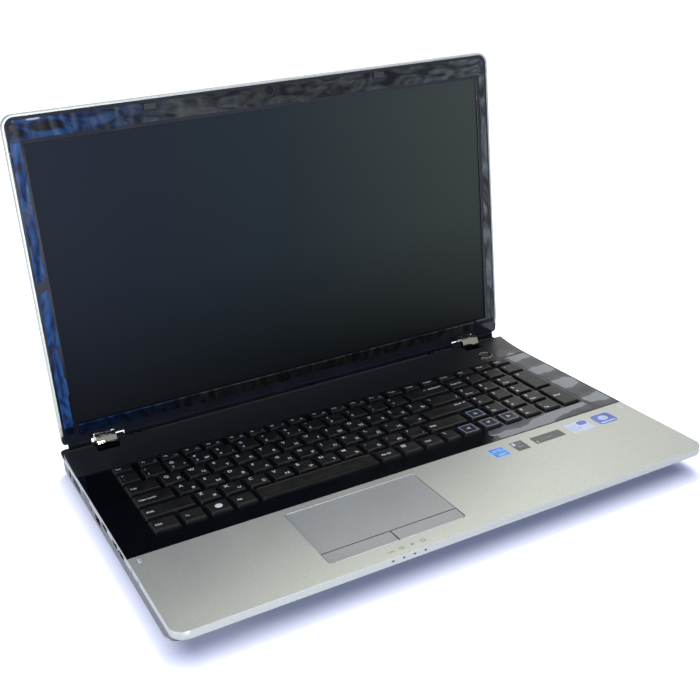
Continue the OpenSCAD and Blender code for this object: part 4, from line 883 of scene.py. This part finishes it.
for name, dark, light, metal, rough, members in [
        ("blackened_steel", "#2c2e32", "#3c3f44", 0.9, 0.38, ["case_screws"]),
        ("dark_chrome", "#84867f", "#93958e", 1, 0.2, ["power_button_ring"]),
        ("black_electrocoated_steel", "#0c0d0e", "#151617", 0, 0.8,
         ["hinge_bracket_left", "hinge_bracket_right"])]:
    material, tree, at = new_material(name)
    oil = add_node(tree, "TexNoise", {"Vector": at, "Scale": 1 / 0.0015, "Detail": 3})
    tone = add_node(tree, "ValToRGB", {"Fac": oil}, [(0.3, dark), (0.7, light)])
    skin = add_node(tree, "BsdfPrincipled", {
        "Base Color": tone, "Metallic": metal, "Roughness": rough, "Specular IOR Level": 0.1})
    add_node(tree, "OutputMaterial", {"Surface": skin})
    paint(material, *members)

# Boards: glass-reinforced epoxy with a green solder mask over copper tracks, for the mainboard,
# memory, wireless card and webcam. Tracks are drawn 4.5 mm apart, coarser than real, to show.

green_board, tree, at = new_material("green_solder_mask_board")
tracks = add_node(tree, "TexVoronoi", {
    "Vector": at, "Scale": 1 / 0.0045}, distance="CHEBYCHEV", feature="F1")
tone = add_node(tree, "ValToRGB", {"Fac": tracks},
                [(0.15, "#3a7a4c"), (0.3, "#1d5734"), (0.7, "#174a2b")])
bumps = add_node(tree, "Bump", {"Height": tracks, "Strength": 0.3, "Distance": 0.0002})
skin = add_node(tree, "BsdfPrincipled", {"Base Color": tone, "Roughness": 0.35, "Normal": bumps})
add_node(tree, "OutputMaterial", {"Surface": skin})
paint(green_board, "mainboard", "memory_module", "wireless_card", "webcam_board")

# Cooling: a copper plate and flattened heat pipe with fins in the side vent, and a radial fan
# with a black glass-filled polyester rotor and housing.

copper, tree, at = new_material("bare_copper")
tarnish = add_node(tree, "TexNoise", {"Vector": at, "Scale": 1 / 0.012, "Detail": 5})
tone = add_node(tree, "ValToRGB", {"Fac": tarnish}, [(0.3, "#9c5f3c"), (0.7, "#c98a5c")])
dull = add_node(tree, "MapRange", {
    "Value": tarnish, "From Min": 0.3, "From Max": 0.7, "To Min": 0.22, "To Max": 0.4})
skin = add_node(tree, "BsdfPrincipled", {"Base Color": tone, "Metallic": 1, "Roughness": dull})
add_node(tree, "OutputMaterial", {"Surface": skin})
paint(copper, "heatsink")

fan_plastic, tree, at = new_material("black_filled_polyester")
flow = add_node(tree, "TexNoise", {"Vector": at, "Scale": 1 / 0.003, "Detail": 3})
tone = add_node(tree, "ValToRGB", {"Fac": flow}, [(0.3, "#222426"), (0.7, "#303336")])
skin = add_node(tree, "BsdfPrincipled", {"Base Color": tone, "Roughness": 0.48})
add_node(tree, "OutputMaterial", {"Surface": skin})
paint(fan_plastic, "fan_housing", "fan_rotor")

# Drives and chips: bare aluminium and tinplate shells with a brushed grain along X, and the
# processor's nickel-plated lid.

drive_metal, tree, at = new_material("brushed_aluminium_shell")
drawn = add_node(tree, "Mapping", {"Vector": at, "Scale": (0.04, 1, 1)})
# Real brush marks are some 0.1 mm apart. They are drawn at 0.8 mm, so that they show.
lines = add_node(tree, "TexNoise", {"Vector": drawn, "Scale": 1 / 0.0008, "Detail": 3})
tone = add_node(tree, "ValToRGB", {"Fac": lines}, [(0.3, "#a2a5a8"), (0.7, "#b8bbbe")])
dull = add_node(tree, "MapRange", {
    "Value": lines, "From Min": 0.3, "From Max": 0.7, "To Min": 0.28, "To Max": 0.42})
skin = add_node(tree, "BsdfPrincipled", {"Base Color": tone, "Metallic": 1, "Roughness": dull})
add_node(tree, "OutputMaterial", {"Surface": skin})
paint(drive_metal, "hard_disk", "optical_drive", "processor")

# Room: a pale floor that glows white beyond the laptop's footprint, leaving a painted shadow
# round the laptop, a large soft key light over the right rear, two small low ones at the front
# and the left, and a blue surround, which turns the shadow on the floor blue.

floor_paint, tree, at = new_material("white_matte_floor")
path = add_node(tree, "LightPath")
sides = add_node(tree, "VectorMath", {0: at}, operation="ABSOLUTE")
# Within the footprint and up to 36 mm past it the glow is held back: a painted shadow.
footprint, shadow_reach = (0.189, 0.124, 0), 0.036
beyond = add_node(tree, "VectorMath", {0: sides, 1: footprint}, operation="SUBTRACT")
beyond = add_node(tree, "VectorMath", {0: beyond, 1: (0, 0, 0)}, operation="MAXIMUM")
reach = add_node(tree, "VectorMath", {0: beyond}, operation="LENGTH")
glow_past_painted_shadow = add_node(tree, "MapRange", {
    "Value": reach.outputs["Value"], "From Min": 0, "From Max": shadow_reach,
    "To Min": 0, "To Max": 1}, interpolation_type="SMOOTHSTEP")
direct = add_node(tree, "Math", {0: path.outputs["Is Camera Ray"], 1: glow_past_painted_shadow}, operation="MULTIPLY")
seen = add_node(tree, "Math", {
    0: path.outputs["Is Glossy Ray"], 1: path.outputs["Is Transmission Ray"]}, operation="MAXIMUM")
lift = add_node(tree, "Math", {0: direct, 1: seen}, operation="MAXIMUM")
skin = add_node(tree, "BsdfPrincipled", {
    "Base Color": linear("#dbe3f4"), "Roughness": 0.9, "Specular IOR Level": 0,
    "Emission Color": (1, 1, 1, 1), "Emission Strength": lift})
add_node(tree, "OutputMaterial", {"Surface": skin})
bpy.ops.mesh.primitive_plane_add(size=60)
floor = bpy.context.object
floor.name = "floor"
floor.data.materials.append(floor_paint)

world = bpy.data.worlds.new("pale_surround")
world.use_nodes = True
tree = world.node_tree
tree.nodes.clear()
path = add_node(tree, "LightPath")
seen = add_node(tree, "Math", {
    0: path.outputs["Is Camera Ray"], 1: path.outputs["Is Glossy Ray"]}, operation="MAXIMUM")
seen = add_node(tree, "Math", {
    0: seen, 1: path.outputs["Is Transmission Ray"]}, operation="MAXIMUM")
ambient = add_node(tree, "Background", {"Color": linear("#6484ea"), "Strength": 0.5})
white = add_node(tree, "Background", {"Color": (1, 1, 1, 1), "Strength": 1})
sky = add_node(tree, "MixShader", {0: seen, 1: ambient, 2: white})
add_node(tree, "OutputWorld", {"Surface": sky})
bpy.context.scene.world = world

aim = Vector((0, 0, 0.08))
for name, place, size, power, colour in [
        ("key_light", (0.55, 0.68, 1.35), 1.0, 18, (1, 0.97, 0.91)),
        ("low_front_light", (-0.3, -1.5, 0.12), 0.22, 28, (0.86, 0.89, 1)),
        ("left_light", (-1.5, -0.2, 0.18), 0.32, 14, (1, 0.98, 0.95))]:
    lamp = bpy.data.lights.new(name, "AREA")
    lamp.shape = "DISK"
    lamp.size = size
    lamp.energy = power
    lamp.color = colour
    light = bpy.data.objects.new(name, lamp)
    bpy.context.scene.collection.objects.link(light)
    light.location = place
    light.rotation_euler = (Vector(place) - aim).to_track_quat("Z", "Y").to_euler()

# Camera: a 54 mm lens on a 36 mm sensor, 0.4 m up and 0.7 m off to the left of the front. It
# looks 22 degrees down and is rolled by 4 degrees.

stand = (-0.32671, -0.63023, 0.39585)
yaw, pitch, roll = 0.464824, -0.392805, -0.063067
ahead = Vector((math.sin(yaw) * math.cos(pitch), math.cos(yaw) * math.cos(pitch), math.sin(pitch)))
level = ahead.cross(Vector((0, 0, 1))).normalized()
above = level.cross(ahead)
right = math.cos(roll) * level + math.sin(roll) * above
up = -math.sin(roll) * level + math.cos(roll) * above
lens = bpy.data.cameras.new("camera")
lens.lens = 53.77
lens.sensor_width = 36
camera = bpy.data.objects.new("camera", lens)
bpy.context.scene.collection.objects.link(camera)
camera.matrix_world = Matrix((
    (right.x, up.x, -ahead.x, stand[0]), (right.y, up.y, -ahead.y, stand[1]),
    (right.z, up.z, -ahead.z, stand[2]), (0, 0, 0, 1)))
bpy.context.scene.camera = camera
bpy.context.scene.view_settings.view_transform = "Standard"
